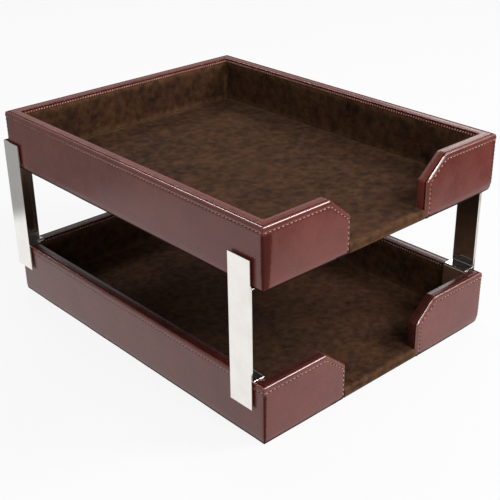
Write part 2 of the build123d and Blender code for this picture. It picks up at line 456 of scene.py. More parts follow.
class MaterialBench(NodeBench):
    """A material's node tree, with patterns that read object coordinates."""

    def __init__(self, name: str) -> None:
        """Start a material with a principled shader.

        Args:
            name: The material's name.
        """
        self.material = bpy.data.materials.new(name)
        self.material.use_nodes = True
        super().__init__(self.material.node_tree)
        self.shader = self.tree.nodes["Principled BSDF"]
        self.place = self.add("ShaderNodeTexCoord").outputs["Object"]

    def finish(self, **inputs: object) -> bpy.types.Material:
        """Feed the shader, with underscores for spaces in its inputs' names, and give the material."""
        self.feed(self.shader, {name.replace("_", " "): value for name, value in inputs.items()})
        return self.material

    def noise(self, scale: float, detail: float = 2.0, roughness: float = 0.5) -> bpy.types.NodeSocket:
        """A noise pattern."""
        inputs = {"Vector": self.place, "Scale": scale, "Detail": detail, "Roughness": roughness}
        return self.add("ShaderNodeTexNoise", inputs).outputs["Fac"]

    def stretched_noise(self, scale: Triple, detail: float) -> bpy.types.NodeSocket:
        """A noise pattern with a scale of its own along each axis."""
        mapping = self.add("ShaderNodeMapping", {"Vector": self.place, "Scale": scale})
        inputs = {"Vector": mapping.outputs["Vector"], "Scale": 1.0, "Detail": detail}
        return self.add("ShaderNodeTexNoise", inputs).outputs["Fac"]

    def cells(self, scale: float) -> bpy.types.NodeSocket:
        """A soft cell pattern, as the distance to the nearest cell's middle."""
        inputs = {"Vector": self.place, "Scale": scale}
        return self.add("ShaderNodeTexVoronoi", inputs, feature="SMOOTH_F1").outputs["Distance"]

    def attribute(self, name: str) -> bpy.types.NodeSocket:
        """A value that the piece's points carry."""
        return self.add("ShaderNodeAttribute", attribute_name=name).outputs["Fac"]

    def blend(self, share: bpy.types.NodeSocket, first: Colour | bpy.types.NodeSocket,
              second: Colour | bpy.types.NodeSocket) -> bpy.types.NodeSocket:
        """A colour between two colours."""
        ends = [(*end, 1.0) if isinstance(end, tuple) else end for end in (first, second)]
        inputs = {"Factor": share, 6: ends[0], 7: ends[1]}
        return self.add("ShaderNodeMix", inputs, data_type="RGBA").outputs[2]

    def bump(self, height: bpy.types.NodeSocket, distance: float, strength: float,
             under: bpy.types.NodeSocket | None = None) -> bpy.types.NodeSocket:
        """A relief on the surface, over another one if there is one."""
        inputs = {"Height": height, "Distance": distance, "Strength": strength}
        if under is not None:
            inputs["Normal"] = under
        return self.add("ShaderNodeBump", inputs).outputs["Normal"]


class Finish(Protocol):
    """What every finish can do."""

    def material(self) -> bpy.types.Material:
        """Build the material."""


@dataclass(frozen=True)
class LeatherFinish:
    """Smooth, semi-gloss chocolate leather with a fine grain, paler where it is rubbed at its edges, painted
    paler along the panels' feet as a sheen, and painted darker where shade and dark reflections fall.
    """

    name: str = "chocolate_leather"
    deep: Colour = (0.095, 0.0162, 0.0108)
    body: Colour = (0.158, 0.0325, 0.0225)
    # Paler colour: wear at rubbed hems, and a painted sheen along the panels' feet
    wear_and_painted_light: Colour = (0.180, 0.050, 0.036)
    # Colour painted as shade in creases, folds and seams, and as a dark reflection near the corners
    shade_and_dark_reflection: Colour = (0.022, 0.0045, 0.0030)
    cloud_scale: float = 16.0
    cloud_range: Pair = (0.3, 0.7)
    mottle_scale: float = 55.0
    mottle_range: Pair = (0.25, 0.75)
    paling_range: Pair = (0.35, 0.9)
    grain_scale: float = 1500.0
    grain_depth: float = 0.00006
    grain_relief: float = 0.35
    grain_gloss: Pair = (-0.03, 0.05)
    pore_scale: float = 3800.0
    pore_relief: float = 0.12
    gloss: Pair = (0.22, 0.33)
    specular: float = 0.55

    def material(self) -> bpy.types.Material:
        """Build the material."""
        bench = MaterialBench(self.name)
        clouds = bench.ranged(bench.noise(self.cloud_scale), *self.cloud_range)
        mottle = bench.ranged(bench.noise(self.mottle_scale), *self.mottle_range)
        tone = bench.math("MULTIPLY", bench.math("ADD", clouds, mottle), 0.5)
        dyed = bench.blend(tone, self.deep, self.body)
        edge = bench.attribute("edge")
        # Positive edge values pale the leather: wear at the hems, and a painted sheen along the panels' feet
        paling = bench.math("MULTIPLY", bench.ranged(edge, 0.0, 1.0),
                         bench.ranged(mottle, 0.0, 1.0, *self.paling_range))
        wear_and_sheen = bench.blend(paling, dyed, self.wear_and_painted_light)
        # Negative edge values paint shade and dark reflections
        painted_dark_colour = bench.blend(bench.ranged(edge, 0.0, -1.0), wear_and_sheen, self.shade_and_dark_reflection)
        grain = bench.cells(self.grain_scale)
        gloss = bench.math("ADD", bench.ranged(mottle, 0.0, 1.0, *self.gloss),
                           bench.ranged(grain, 0.0, 1.0, *self.grain_gloss))
        relief = bench.bump(bench.noise(self.pore_scale), self.grain_depth, self.pore_relief)
        relief = bench.bump(grain, self.grain_depth, self.grain_relief, relief)
        return bench.finish(Base_Color=painted_dark_colour, Roughness=gloss, Normal=relief,
                            Specular_IOR_Level=self.specular)


@dataclass(frozen=True)
class PaintedShadeFinish:
    """A matt dark colour painted as shade: in creases and along the bottom folds as a contact shadow, on the
    leather's cut edges and hidden back, and on the balls that stand for needle holes.
    """

    name: str
    shade: Colour
    body: Colour
    speck_scale: float
    roughness: float
    specular: float

    def material(self) -> bpy.types.Material:
        """Build the material."""
        bench = MaterialBench(self.name)
        tone = bench.blend(bench.noise(self.speck_scale), self.shade, self.body)
        return bench.finish(Base_Color=tone, Roughness=self.roughness, Specular_IOR_Level=self.specular)


@dataclass(frozen=True)
class VelveteenFinish:
    """Short dark pile with a patchy nap, paler along its edges and the floor's fold ridge, partly where the
    pile opens and partly as a painted highlight.
    """

    name: str = "brown_velveteen"
    shade: Colour = (0.0105, 0.0036, 0.0014)
    body: Colour = (0.094, 0.0395, 0.0165)
    worn_and_lit_nap: Colour = (0.125, 0.060, 0.027)
    nap_noise: Triple = (26.0, 4.0, 0.62)
    nap_range: Pair = (0.32, 0.7)
    nap_share: float = 0.35
    patch_noise: Triple = (135.0, 3.0, 0.6)
    patch_range: Pair = (0.36, 0.66)
    patch_share: float = 0.5
    patch_relief: float = 0.2
    pile_noise: Triple = (1500.0, 2.0, 0.6)
    pile_range: Pair = (0.3, 0.7)
    pile_tone: Pair = (0.55, 1.25)
    pile_depth: float = 0.0004
    pile_relief: float = 0.8
    worn_and_lit_range: Pair = (0.25, 0.85)
    sheen_tint: Colour = (0.60, 0.34, 0.18)

    def material(self) -> bpy.types.Material:
        """Build the material."""
        bench = MaterialBench(self.name)
        nap = bench.ranged(bench.noise(*self.nap_noise), *self.nap_range)
        patches = bench.ranged(bench.noise(*self.patch_noise), *self.patch_range)
        pile = bench.noise(*self.pile_noise)
        tone = bench.math("ADD", bench.math("MULTIPLY", nap, self.nap_share),
                          bench.math("MULTIPLY", patches, self.patch_share))
        tone = bench.math("MULTIPLY", tone, bench.ranged(pile, *self.pile_range, *self.pile_tone))
        cloth = bench.blend(tone, self.shade, self.body)
        # Paler along the edges: partly pile opened by wear, partly a painted highlight
        worn_and_lit = bench.math("MULTIPLY", bench.attribute("edge"),
                            bench.ranged(patches, 0.0, 1.0, *self.worn_and_lit_range))
        relief = bench.bump(patches, self.pile_depth, self.patch_relief)
        relief = bench.bump(pile, self.pile_depth, self.pile_relief, relief)
        return bench.finish(Base_Color=bench.blend(worn_and_lit, cloth, self.worn_and_lit_nap), Normal=relief,
                            Roughness=0.92, Specular_IOR_Level=0.15, Sheen_Weight=0.08,
                            Sheen_Roughness=0.4, Sheen_Tint=(*self.sheen_tint, 1.0))


@dataclass(frozen=True)
class FeltFinish:
    """Pressed brown felt with matted fibres."""

    name: str = "pressed_felt"
    shade: Colour = (0.030, 0.020, 0.015)
    body: Colour = (0.062, 0.044, 0.033)
    fibre_scale: Triple = (900.0, 1600.0, 900.0)
    fibre_detail: float = 4.0
    fibre_depth: float = 0.0003
    fibre_relief: float = 0.7
    mat_noise: Triple = (220.0, 4.0, 0.6)
    tone_range: Pair = (0.6, 1.4)

    def material(self) -> bpy.types.Material:
        """Build the material."""
        bench = MaterialBench(self.name)
        fibres = bench.stretched_noise(self.fibre_scale, self.fibre_detail)
        tone = bench.ranged(bench.math("ADD", fibres, bench.noise(*self.mat_noise)), *self.tone_range)
        return bench.finish(Base_Color=bench.blend(tone, self.shade, self.body),
                            Normal=bench.bump(fibres, self.fibre_depth, self.fibre_relief),
                            Roughness=0.95, Specular_IOR_Level=0.1, Sheen_Weight=0.2, Sheen_Roughness=0.5)


@dataclass(frozen=True)
class BoardFinish:
    """Bare brown fibreboard, inside the walls and the base."""

    name: str = "fibreboard"
    shade: Colour = (0.17, 0.105, 0.062)
    body: Colour = (0.29, 0.19, 0.115)
    chip_noise: Triple = (700.0, 4.0, 0.6)
    chip_range: Pair = (0.3, 0.7)
    chip_depth: float = 0.0002
    chip_relief: float = 0.5

    def material(self) -> bpy.types.Material:
        """Build the material."""
        bench = MaterialBench(self.name)
        chips = bench.noise(*self.chip_noise)
        tone = bench.ranged(chips, *self.chip_range)
        return bench.finish(Base_Color=bench.blend(tone, self.shade, self.body), Roughness=0.8,
                            Normal=bench.bump(chips, self.chip_depth, self.chip_relief))


@dataclass(frozen=True)
class NickelFinish:
    """Mirror-polished nickel plate with faint wipe marks and a slightly uneven sheet under it."""

    name: str = "polished_nickel"
    bright: Colour = (0.86, 0.835, 0.80)
    dull: Colour = (0.78, 0.75, 0.71)
    wipe_scale: Triple = (60.0, 900.0, 60.0)
    wipe_detail: float = 2.0
    wipe_range: Pair = (0.3, 0.7)
    wipe_gloss: Pair = (-0.015, 0.02)
    smudge_noise: Triple = (45.0, 4.0, 0.6)
    smudge_range: Pair = (0.35, 0.75)
    sheet_noise: Pair = (24.0, 1.0)
    sheet_depth: float = 0.0006
    sheet_relief: float = 0.10
    gloss: Pair = (0.05, 0.15)

    def material(self) -> bpy.types.Material:
        """Build the material."""
        bench = MaterialBench(self.name)
        smudges = bench.ranged(bench.noise(*self.smudge_noise), *self.smudge_range)
        wipes = bench.stretched_noise(self.wipe_scale, self.wipe_detail)
        gloss = bench.math("ADD", bench.ranged(smudges, 0.0, 1.0, *self.gloss),
                           bench.ranged(wipes, *self.wipe_range, *self.wipe_gloss))
        sheet = bench.bump(bench.noise(*self.sheet_noise), self.sheet_depth, self.sheet_relief)
        return bench.finish(Base_Color=bench.blend(smudges, self.bright, self.dull), Roughness=gloss,
                            Normal=sheet, Metallic=1.0)


@dataclass(frozen=True)
class ThreadFinish:
    """Waxed tan thread."""

    name: str = "tan_thread"
    shade: Colour = (0.32, 0.175, 0.130)
    body: Colour = (0.72, 0.500, 0.390)
    ply_scale: float = 2400.0
    ply_depth: float = 0.0001
    ply_relief: float = 0.5
    wax_scale: float = 60.0
    tone_range: Pair = (0.75, 1.25)

    def material(self) -> bpy.types.Material:
        """Build the material."""
        bench = MaterialBench(self.name)
        plies = bench.noise(self.ply_scale)
        tone = bench.ranged(bench.math("ADD", plies, bench.noise(self.wax_scale)), *self.tone_range)
        return bench.finish(Base_Color=bench.blend(tone, self.shade, self.body), Roughness=0.55,
                            Normal=bench.bump(plies, self.ply_depth, self.ply_relief))


def made(finish: Finish) -> bpy.types.Material:
    """A field for a finish's material, which is built together with the object that holds it."""
    return field(default_factory=finish.material)


@dataclass
class Finishes:
    """One material of each kind."""

    leather: bpy.types.Material = made(LeatherFinish())
    hem: bpy.types.Material = made(LeatherFinish(
        name="waxed_leather_hem", gloss=(0.20, 0.27), specular=1.0))
    # Faces where a dark reflection is painted near the corners, dull so that they show no reflection of their
    # own
    dark_reflection: bpy.types.Material = made(LeatherFinish(
        name="leather_painted_dark_reflection", gloss=(0.34, 0.44), specular=0.06))
    # A darker copy of the leather for the lower tray's binding: painted shade from the upper tray above it
    shaded_trim: bpy.types.Material = made(LeatherFinish(
        name="leather_trim_painted_shade", deep=(0.034, 0.0060, 0.0040), body=(0.056, 0.0120, 0.0085),
        wear_and_painted_light=(0.076, 0.023, 0.017)))
    # Faces in creases, along the bottom folds and on the hidden back, painted dark as shade
    painted_shade: bpy.types.Material = made(PaintedShadeFinish(
        name="leather_painted_shade", shade=(0.006, 0.0018, 0.0012), body=(0.020, 0.0055, 0.0040),
        speck_scale=600.0, roughness=0.85, specular=0.08))
    velveteen: bpy.types.Material = made(VelveteenFinish())
    felt: bpy.types.Material = made(FeltFinish())
    board: bpy.types.Material = made(BoardFinish())
    nickel: bpy.types.Material = made(NickelFinish())
    thread: bpy.types.Material = made(ThreadFinish())
    # Dark balls painted as the shade in the needle holes
    hole_shade: bpy.types.Material = made(PaintedShadeFinish(
        name="needle_hole_shade", shade=(0.006, 0.002, 0.002), body=(0.014, 0.005, 0.004),
        speck_scale=900.0, roughness=0.9, specular=0.1))


def dress(piece: bpy.types.Object, material: bpy.types.Material) -> None:
    """Give an object one material in all its slots."""
    piece.data.materials.clear()
    piece.data.materials.append(material)


def finish_edges(piece: bpy.types.Object, materials: Sequence[bpy.types.Material],
                 limits: Triple = (-0.85, -0.30, 0.30)) -> None:
    """Give the faces of a piece where shade or a dark reflection is painted, and its rubbed edges, materials
    of their own.

    Args:
        piece: The piece.
        materials: Those of the painted shade, the painted dark reflection, the plain leather and the rubbed
            edges.
        limits: The edge values between them.
    """
    mesh = piece.data
    edge = np.empty(len(mesh.vertices), dtype=np.float32)
    mesh.attributes["edge"].data.foreach_get("value", edge)
    mesh.materials.clear()
    for material in materials:
        mesh.materials.append(material)
    for face in mesh.polygons:
        face.material_index = int(np.searchsorted(limits, edge[list(face.vertices)].mean()))


# Leather


@dataclass(frozen=True)
class Seam:
    """Where the stitches run, and how far apart they are."""

    pitch: float = 0.00385
    top_inset: float = 0.0049
    slope_inset: float = 0.0036
    left_end_inset: float = 0.0020
    right_end_inset: float = 0.0044
    lip_inset: float = 0.0026
    corner_margin: float = 0.0012
    foot_margin: float = 0.0025
    outer_slant: float = 0.07
    lip_pitch: float = 0.0028
    lip_slant: float = 1.10
    lip_girth: float = 1.70

    def count(self, length: float) -> int:
        """How many stitches a run of a length takes."""
        return max(1, int(length / self.pitch))

    def trimmed(self, start: np.ndarray, stop: np.ndarray) -> np.ndarray:
        """A run that is half a stitch shorter at both ends."""
        trim = (stop - start) / np.linalg.norm(stop - start) * self.pitch / 2
        return np.array([start + trim, stop - trim])


@dataclass
class LeatherPanel:
    """The leather on the outside of one wall: hem, stitch line, face, folded bottom and turned-under edge."""

    sizes: TraySizes
    wall: Wall
    seam: Seam
    dark_reflection_width: float
    step: float = 0.0010
    strip_step: float = 0.00055
    strip_width: float = 0.0085
    under_step: float = 0.0016
    roll_points: int = 6
    fold_points: int = 7
    slope_points: int = 31
    face_rows: int = 38
    foot_shares: Triple = (0.0, 0.014, 0.028)
    upright: float = 0.050
    corner_steps: tuple[float, ...] = (0.0, 0.1, 0.2, 0.35, 0.55, 0.8, 1.1, 1.5)
    hem_radius: float = 0.0018
    hem_padding: float = 0.00022
    slope_bevel: float = 0.85
    slope_ends: float = 0.12
    groove_depth: float = 0.00026
    groove_width: float = 0.0006
    pucker_depth: float = 0.00014
    pucker_width: float = 0.0012
    hem_corner: float = 0.0007
    corner_fade: float = 0.0100
    corner_radius: float = 0.0020
    corner_stitch: float = 0.0036
    corner_tick: float = 0.00018
    turn_depth: float = 0.0012
    stub_reach: float = 0.0135
    side_reach: float = 0.0045
    foot_depth: float = 0.0005
    foot_reach: float = 0.0065
    foot_dip: float = 0.0005
    # How strongly a sheen is painted paler along the panel's foot
    foot_sheen: float = 0.28
    under_fade: float = 0.0040
    tuck_depth: float = 0.0011
    tuck_height: float = 0.0105
    tuck_length: float = 0.0160
    wave_size: float = 0.028
    wave_height: float = 0.00016
    wave_seed: float = 90.0
    back_gap: float = 0.0001
    edge_width: float = 0.0008
    seam_width: float = 0.0004
    # Shade painted along the corner seams
    seam_shade: float = 0.35
    # A contact shadow painted along the bottom fold, up to this height above the bend
    contact_shadow_height: float = 0.0007
    fold_width: float = 0.0003
    # How dark, how wide at the foot, how soft and how far below the stitches the dark reflection painted near
    # the corners is
    dark_reflection_strength: float = 0.66
    dark_reflection_foot: float = 0.6
    dark_reflection_fade: float = 0.6
    dark_reflection_drop: float = 0.003

    def insets(self) -> np.ndarray:
        """Distances from the free edge at which the pattern has a line of points."""
        roll = self.hem_radius * (1 - np.cos(np.linspace(0, math.pi / 2, self.roll_points)))
        return np.concatenate([roll, evenly(self.hem_radius, self.strip_width, self.strip_step)[1:]])

    def fold_rises(self) -> np.ndarray:
        """Heights of the turned-under edge and the bottom fold on the pattern, from the lowest up."""
        sizes = self.sizes
        start = sizes.felt + sizes.bottom_bend
        arc = sizes.bottom_bend * math.pi / 2
        under = sizes.board_inside - sizes.bottom_bend
        turned = evenly(start - arc - under, start - arc, self.under_step)
        return np.concatenate([turned[:-1], np.linspace(start - arc, start, self.fold_points)])

    def columns(self, start: float, stop: float) -> np.ndarray:
        """Places along a run that ends at a corner seam, closer together near the seam."""
        near = self.corner_radius * np.array(self.corner_steps)
        return np.concatenate([evenly(start, stop - near[-1], self.step)[:-1], stop - near[::-1]])

    def top_line(self, inset: float) -> np.ndarray:
        """Pattern points of the line at an inset: the whole top, or a stub's slope and top."""
        sizes = self.sizes
        if not self.wall.is_stub:
            half = self.columns(0.0, sizes.half_length(self.wall))
            along = np.concatenate([-half[:0:-1], half])
            rise = np.full_like(along, sizes.height - inset)
        else:
            elbow = np.array(sizes.elbow(inset, inset))
            shoulder = np.array(sizes.shoulder(inset, inset))
            slope = elbow + np.linspace(0, 1, self.slope_points)[:-1, None] * (shoulder - elbow)
            run = self.columns(sizes.half_opening + sizes.slope_run, sizes.half_width)
            stretch = (run - run[0]) * (sizes.half_width - shoulder[0]) / (run[-1] - run[0])
            top = shoulder[0] + stretch
            along = np.concatenate([slope[:, 0], top])
            rise = np.concatenate([slope[:, 1], np.full_like(top, shoulder[1])])
        return np.stack([along, rise, np.full_like(along, inset)], axis=-1)

    def end_line(self, inset: float, shares: np.ndarray) -> np.ndarray:
        """Pattern points up a stub's upright end at an inset, from the turned edge to the elbow."""
        along, top = self.sizes.elbow(inset, inset)
        fold = self.fold_rises()
        rise = np.concatenate([fold[:-1], fold[-1] + shares * (top - fold[-1])])
        return np.stack([np.full_like(rise, along), rise, np.full_like(rise, inset)], axis=-1)

    def pattern(self) -> Pattern:
        """Cut the panel's flat pattern: a strip of lines along the free edge, and the face below it."""
        insets = self.insets()
        fold = self.fold_rises()
        shares = np.concatenate([self.foot_shares, evenly(self.upright, 1.0, 1 / self.face_rows)])
        strip = [self.top_line(inset) for inset in insets]
        top = strip[-1]
        low = np.linspace(top[0, 0], top[-1, 0], len(top)) if self.wall.is_stub else top[:, 0]
        rows = [np.stack([low, np.full_like(low, rise)], axis=-1) for rise in fold[:-1]]
        for share in shares:
            lean = max(share - self.upright, 0.0) / (1 - self.upright)
            rows.append(np.stack([low + lean * (top[:, 0] - low),
                                  fold[-1] + share * (top[:, 1] - fold[-1])], axis=-1))
        away = np.full((len(rows), len(top), 1), insets[-1])
        grids = [np.stack(strip[::-1]), np.concatenate([np.stack(rows), away], axis=-1)]
        if self.wall.is_stub:
            grids.append(np.stack([self.end_line(inset, shares) for inset in insets], axis=1))
        return Pattern.join(grids)

    def fold(self, along: np.ndarray, rise: np.ndarray, out: np.ndarray) -> np.ndarray:
        """Lay pattern points on the wall's board, round its bottom edge and under it.

        Args:
            along: Places along the wall.
            rise: Heights on the unrolled pattern.
            out: Distances outwards from the leather's plain outer face.

        Returns:
            Points in the model's frame.
        """
        sizes = self.sizes
        bend = sizes.bottom_bend
        turn = np.clip((sizes.felt + bend - rise) / bend, 0.0, math.pi / 2)
        under = np.maximum(sizes.felt + bend - bend * math.pi / 2 - rise, 0.0)
        radius, corner = np.maximum(bend + out, 0.0), np.maximum(bend, -out)
        depth = np.maximum(corner, bend + under) - radius * np.cos(turn)
        level = np.maximum(rise, sizes.felt + corner) - radius * np.sin(turn)
        foot = self.foot(rise) * eased(1 - under / self.under_fade)
        foot = foot * np.clip(1 + out / sizes.leather, 0.0, 1.0)
        depth, level = depth + self.foot_depth * foot, level - self.foot_dip * foot
        if self.wall.is_stub:
            run = sizes.half_width - sizes.half_opening
            along = sizes.half_opening + (along - sizes.half_opening) * (run - depth) / run
        else:
            length = sizes.half_length(self.wall)
            along = along * (length - depth) / length
        return sizes.place(self.wall, along, depth, level)

    def foot(self, rise: np.ndarray) -> np.ndarray:
        """How far the leather is drawn in towards the bottom fold, as a share."""
        return np.clip(1 - (rise - self.sizes.felt) / self.foot_reach, 0.0, 1.0) ** 2

    @property
    def end_inset(self) -> float:
        """How far the stitches keep from a stub's upright end."""
        right = self.wall is Wall.FRONT_RIGHT
        return self.seam.right_end_inset if right else self.seam.left_end_inset

    def on_slope(self, cut: Pattern) -> np.ndarray:
        """How much each pattern point belongs to a stub's slope, as a share."""
        if not self.wall.is_stub:
            return np.zeros_like(cut.rise)
        sizes = self.sizes
        climb = (cut.rise - sizes.height + sizes.slope_drop) / sizes.slope_drop
        ahead = (sizes.half_opening + sizes.slope_run - cut.along) / sizes.slope_run
        return eased(climb / self.slope_ends) * eased(ahead / self.slope_ends)

    def stitch_line(self) -> np.ndarray:
        """Corners of the stitch line, as places along the wall and levels."""
        sizes, seam = self.sizes, self.seam
        level = sizes.height - seam.top_inset
        reach = sizes.half_length(self.wall) - seam.corner_margin
        if not self.wall.is_stub:
            return np.array([(-reach, level), (reach, level)])
        elbow = sizes.elbow(seam.slope_inset, self.end_inset)
        shoulder = sizes.shoulder(seam.top_inset, seam.slope_inset)
        return np.array([(elbow[0], sizes.felt + seam.foot_margin), elbow, shoulder, (reach, level)])

    def from_stitches(self, cut: Pattern) -> tuple[np.ndarray, np.ndarray, np.ndarray]:
        """How each pattern point lies to the stitch line.

        Args:
            cut: The pattern.

        Returns:
            Distances from the line, the line's insets there, and counts of stitches along it.
        """
        seam = self.seam
        points = np.stack([cut.along, cut.rise], axis=-1)
        line = self.stitch_line()
        insets = (self.end_inset, seam.slope_inset, seam.top_inset)[1 - len(line):]
        off = np.full(len(points), np.inf)
        inset, count = np.zeros(len(points)), np.zeros(len(points))
        for start, stop, value in zip(line, line[1:], insets):
            run = stop - start
            length = float(np.linalg.norm(run))
            share = np.clip((points - start) @ run / length**2, 0.0, 1.0)
            distance = np.linalg.norm(points - start - share[:, None] * run, axis=1)
            sewn = length - seam.pitch
            stitches = (share * length - seam.pitch / 2) / sewn * seam.count(sewn)
            nearer = distance < off
            off, inset = np.where(nearer, distance, off), np.where(nearer, value, inset)
            count = np.where(nearer, stitches, count)
        return off, inset, count

    def relief(self, cut: Pattern) -> np.ndarray:
        """How far the shown face stands out of the plain one at each pattern point."""
        to_corner = self.to_corner(cut)
        off_line, line, count = self.from_stitches(cut)
        between = 0.5 - 0.5 * np.cos(2 * math.pi * count)
        hem = np.clip((cut.inset - self.hem_radius) / (line - self.hem_radius), 0.0, 1.0)
        roll = rolled(cut.inset, self.hem_radius)
        bevel = np.maximum(self.hem_radius - cut.inset, 0.0) - roll
        out = self.hem_padding * np.sin(math.pi * hem) - roll
        out -= self.slope_bevel * bevel * self.on_slope(cut)
        out -= self.groove_depth * falloff(off_line, self.groove_width)
        out -= self.pucker_depth * between * falloff(off_line, self.pucker_width)
        ticks = self.corner_tick * (0.5 - 0.5 * np.cos(2 * math.pi * cut.rise / self.corner_stitch))
        below = eased((cut.inset - line) / self.corner_fade)
        corner = (1 - below) * rounded(to_corner, self.hem_corner)
        corner += below * rounded(to_corner, self.corner_radius)
        corner += ticks * falloff(to_corner, 2 * self.hem_corner)
        if self.wall in (Wall.LEFT, Wall.FRONT_LEFT):
            turn = self.turn_depth * below * np.clip(1 - to_corner / self.turn_reach, 0.0, 1.0) ** 2
            turn = (corner + turn) * eased((cut.rise - self.sizes.felt) / self.foot_reach)
            corner = np.where((cut.along < 0) | self.wall.is_stub, turn, corner)
        return out - corner - self.tuck_depth * self.tuck(cut)

    def tuck(self, cut: Pattern) -> np.ndarray:
        """How far the leather is drawn in at the foot of the front right corner, as a share."""
        if self.wall not in (Wall.RIGHT, Wall.FRONT_RIGHT):
            return np.zeros_like(cut.rise)
        lift = cut.rise - self.sizes.felt
        low = np.clip(1 - lift / self.tuck_height, 0.0, 1.0) ** 2 * eased(1 + lift / self.under_fade)
        near = falloff(self.to_corner(cut), self.tuck_length, Weight.SOFT)
        return low * near * ((cut.along < 0) | self.wall.is_stub)

    @property
    def turn_reach(self) -> float:
        """How far from a corner the leather starts to turn."""
        return self.stub_reach if self.wall.is_stub else self.side_reach

    @property
    def dark_reflection_reach(self) -> float:
        """How far from a corner a dark reflection is painted on the leather."""
        return self.dark_reflection_width * DARK_REFLECTION_SHARES[self.wall]

    def to_corner(self, cut: Pattern) -> np.ndarray:
        """Distance of each pattern point from the nearest corner seam."""
        return self.sizes.half_length(self.wall) - (cut.along if self.wall.is_stub else np.abs(cut.along))

    def build(self, name: str) -> bpy.types.Object:
        """Make the panel.

        Args:
            name: The piece's name.

        Returns:
            The piece.
        """
        sizes = self.sizes
        cut = self.pattern()
        to_corner = self.to_corner(cut)
        flat = self.fold(cut.along, cut.rise, np.zeros_like(cut.rise))
        calm = eased(cut.inset / self.strip_width) * eased(to_corner / self.turn_reach)
        seed = sizes.level * self.wave_seed
        out = self.relief(cut) + calm * ripples(flat, self.wave_size, self.wave_height, seed)
        face = self.fold(cut.along, cut.rise, out)
        thin = sizes.leather - self.hem_radius - self.back_gap
        back = self.fold(cut.along, cut.rise, rolled(cut.inset, thin) - sizes.leather)
        # Paler at the rubbed hem, and painted paler along the foot as a sheen
        wear_and_sheen = np.maximum(falloff(cut.inset, self.edge_width), self.foot_sheen * self.foot(cut.rise))
        # Shade painted in the corner seams, and a contact shadow painted along the bottom fold
        dark = self.seam_shade * falloff(to_corner, self.seam_width)
        folded = np.maximum(cut.rise - sizes.felt - sizes.bottom_bend - self.contact_shadow_height, 0.0)
        dark = np.maximum(dark, falloff(folded, self.fold_width))
        # A dark reflection painted near the corners, wider towards the top and starting below the stitch line
        climb = np.clip(cut.rise / sizes.height, 0.0, 1.0)
        reach = self.dark_reflection_reach * (self.dark_reflection_foot + (1 - self.dark_reflection_foot) * climb)
        band = eased((reach - to_corner) / (self.dark_reflection_fade * reach))
        band = band * eased((cut.inset - self.seam.top_inset) / self.dark_reflection_drop)
        dark = np.maximum(dark, self.dark_reflection_strength * band)
        return cut.shell(name, face, back, wear_and_sheen * (1 - dark) - dark, np.full_like(wear_and_sheen, -1.0))


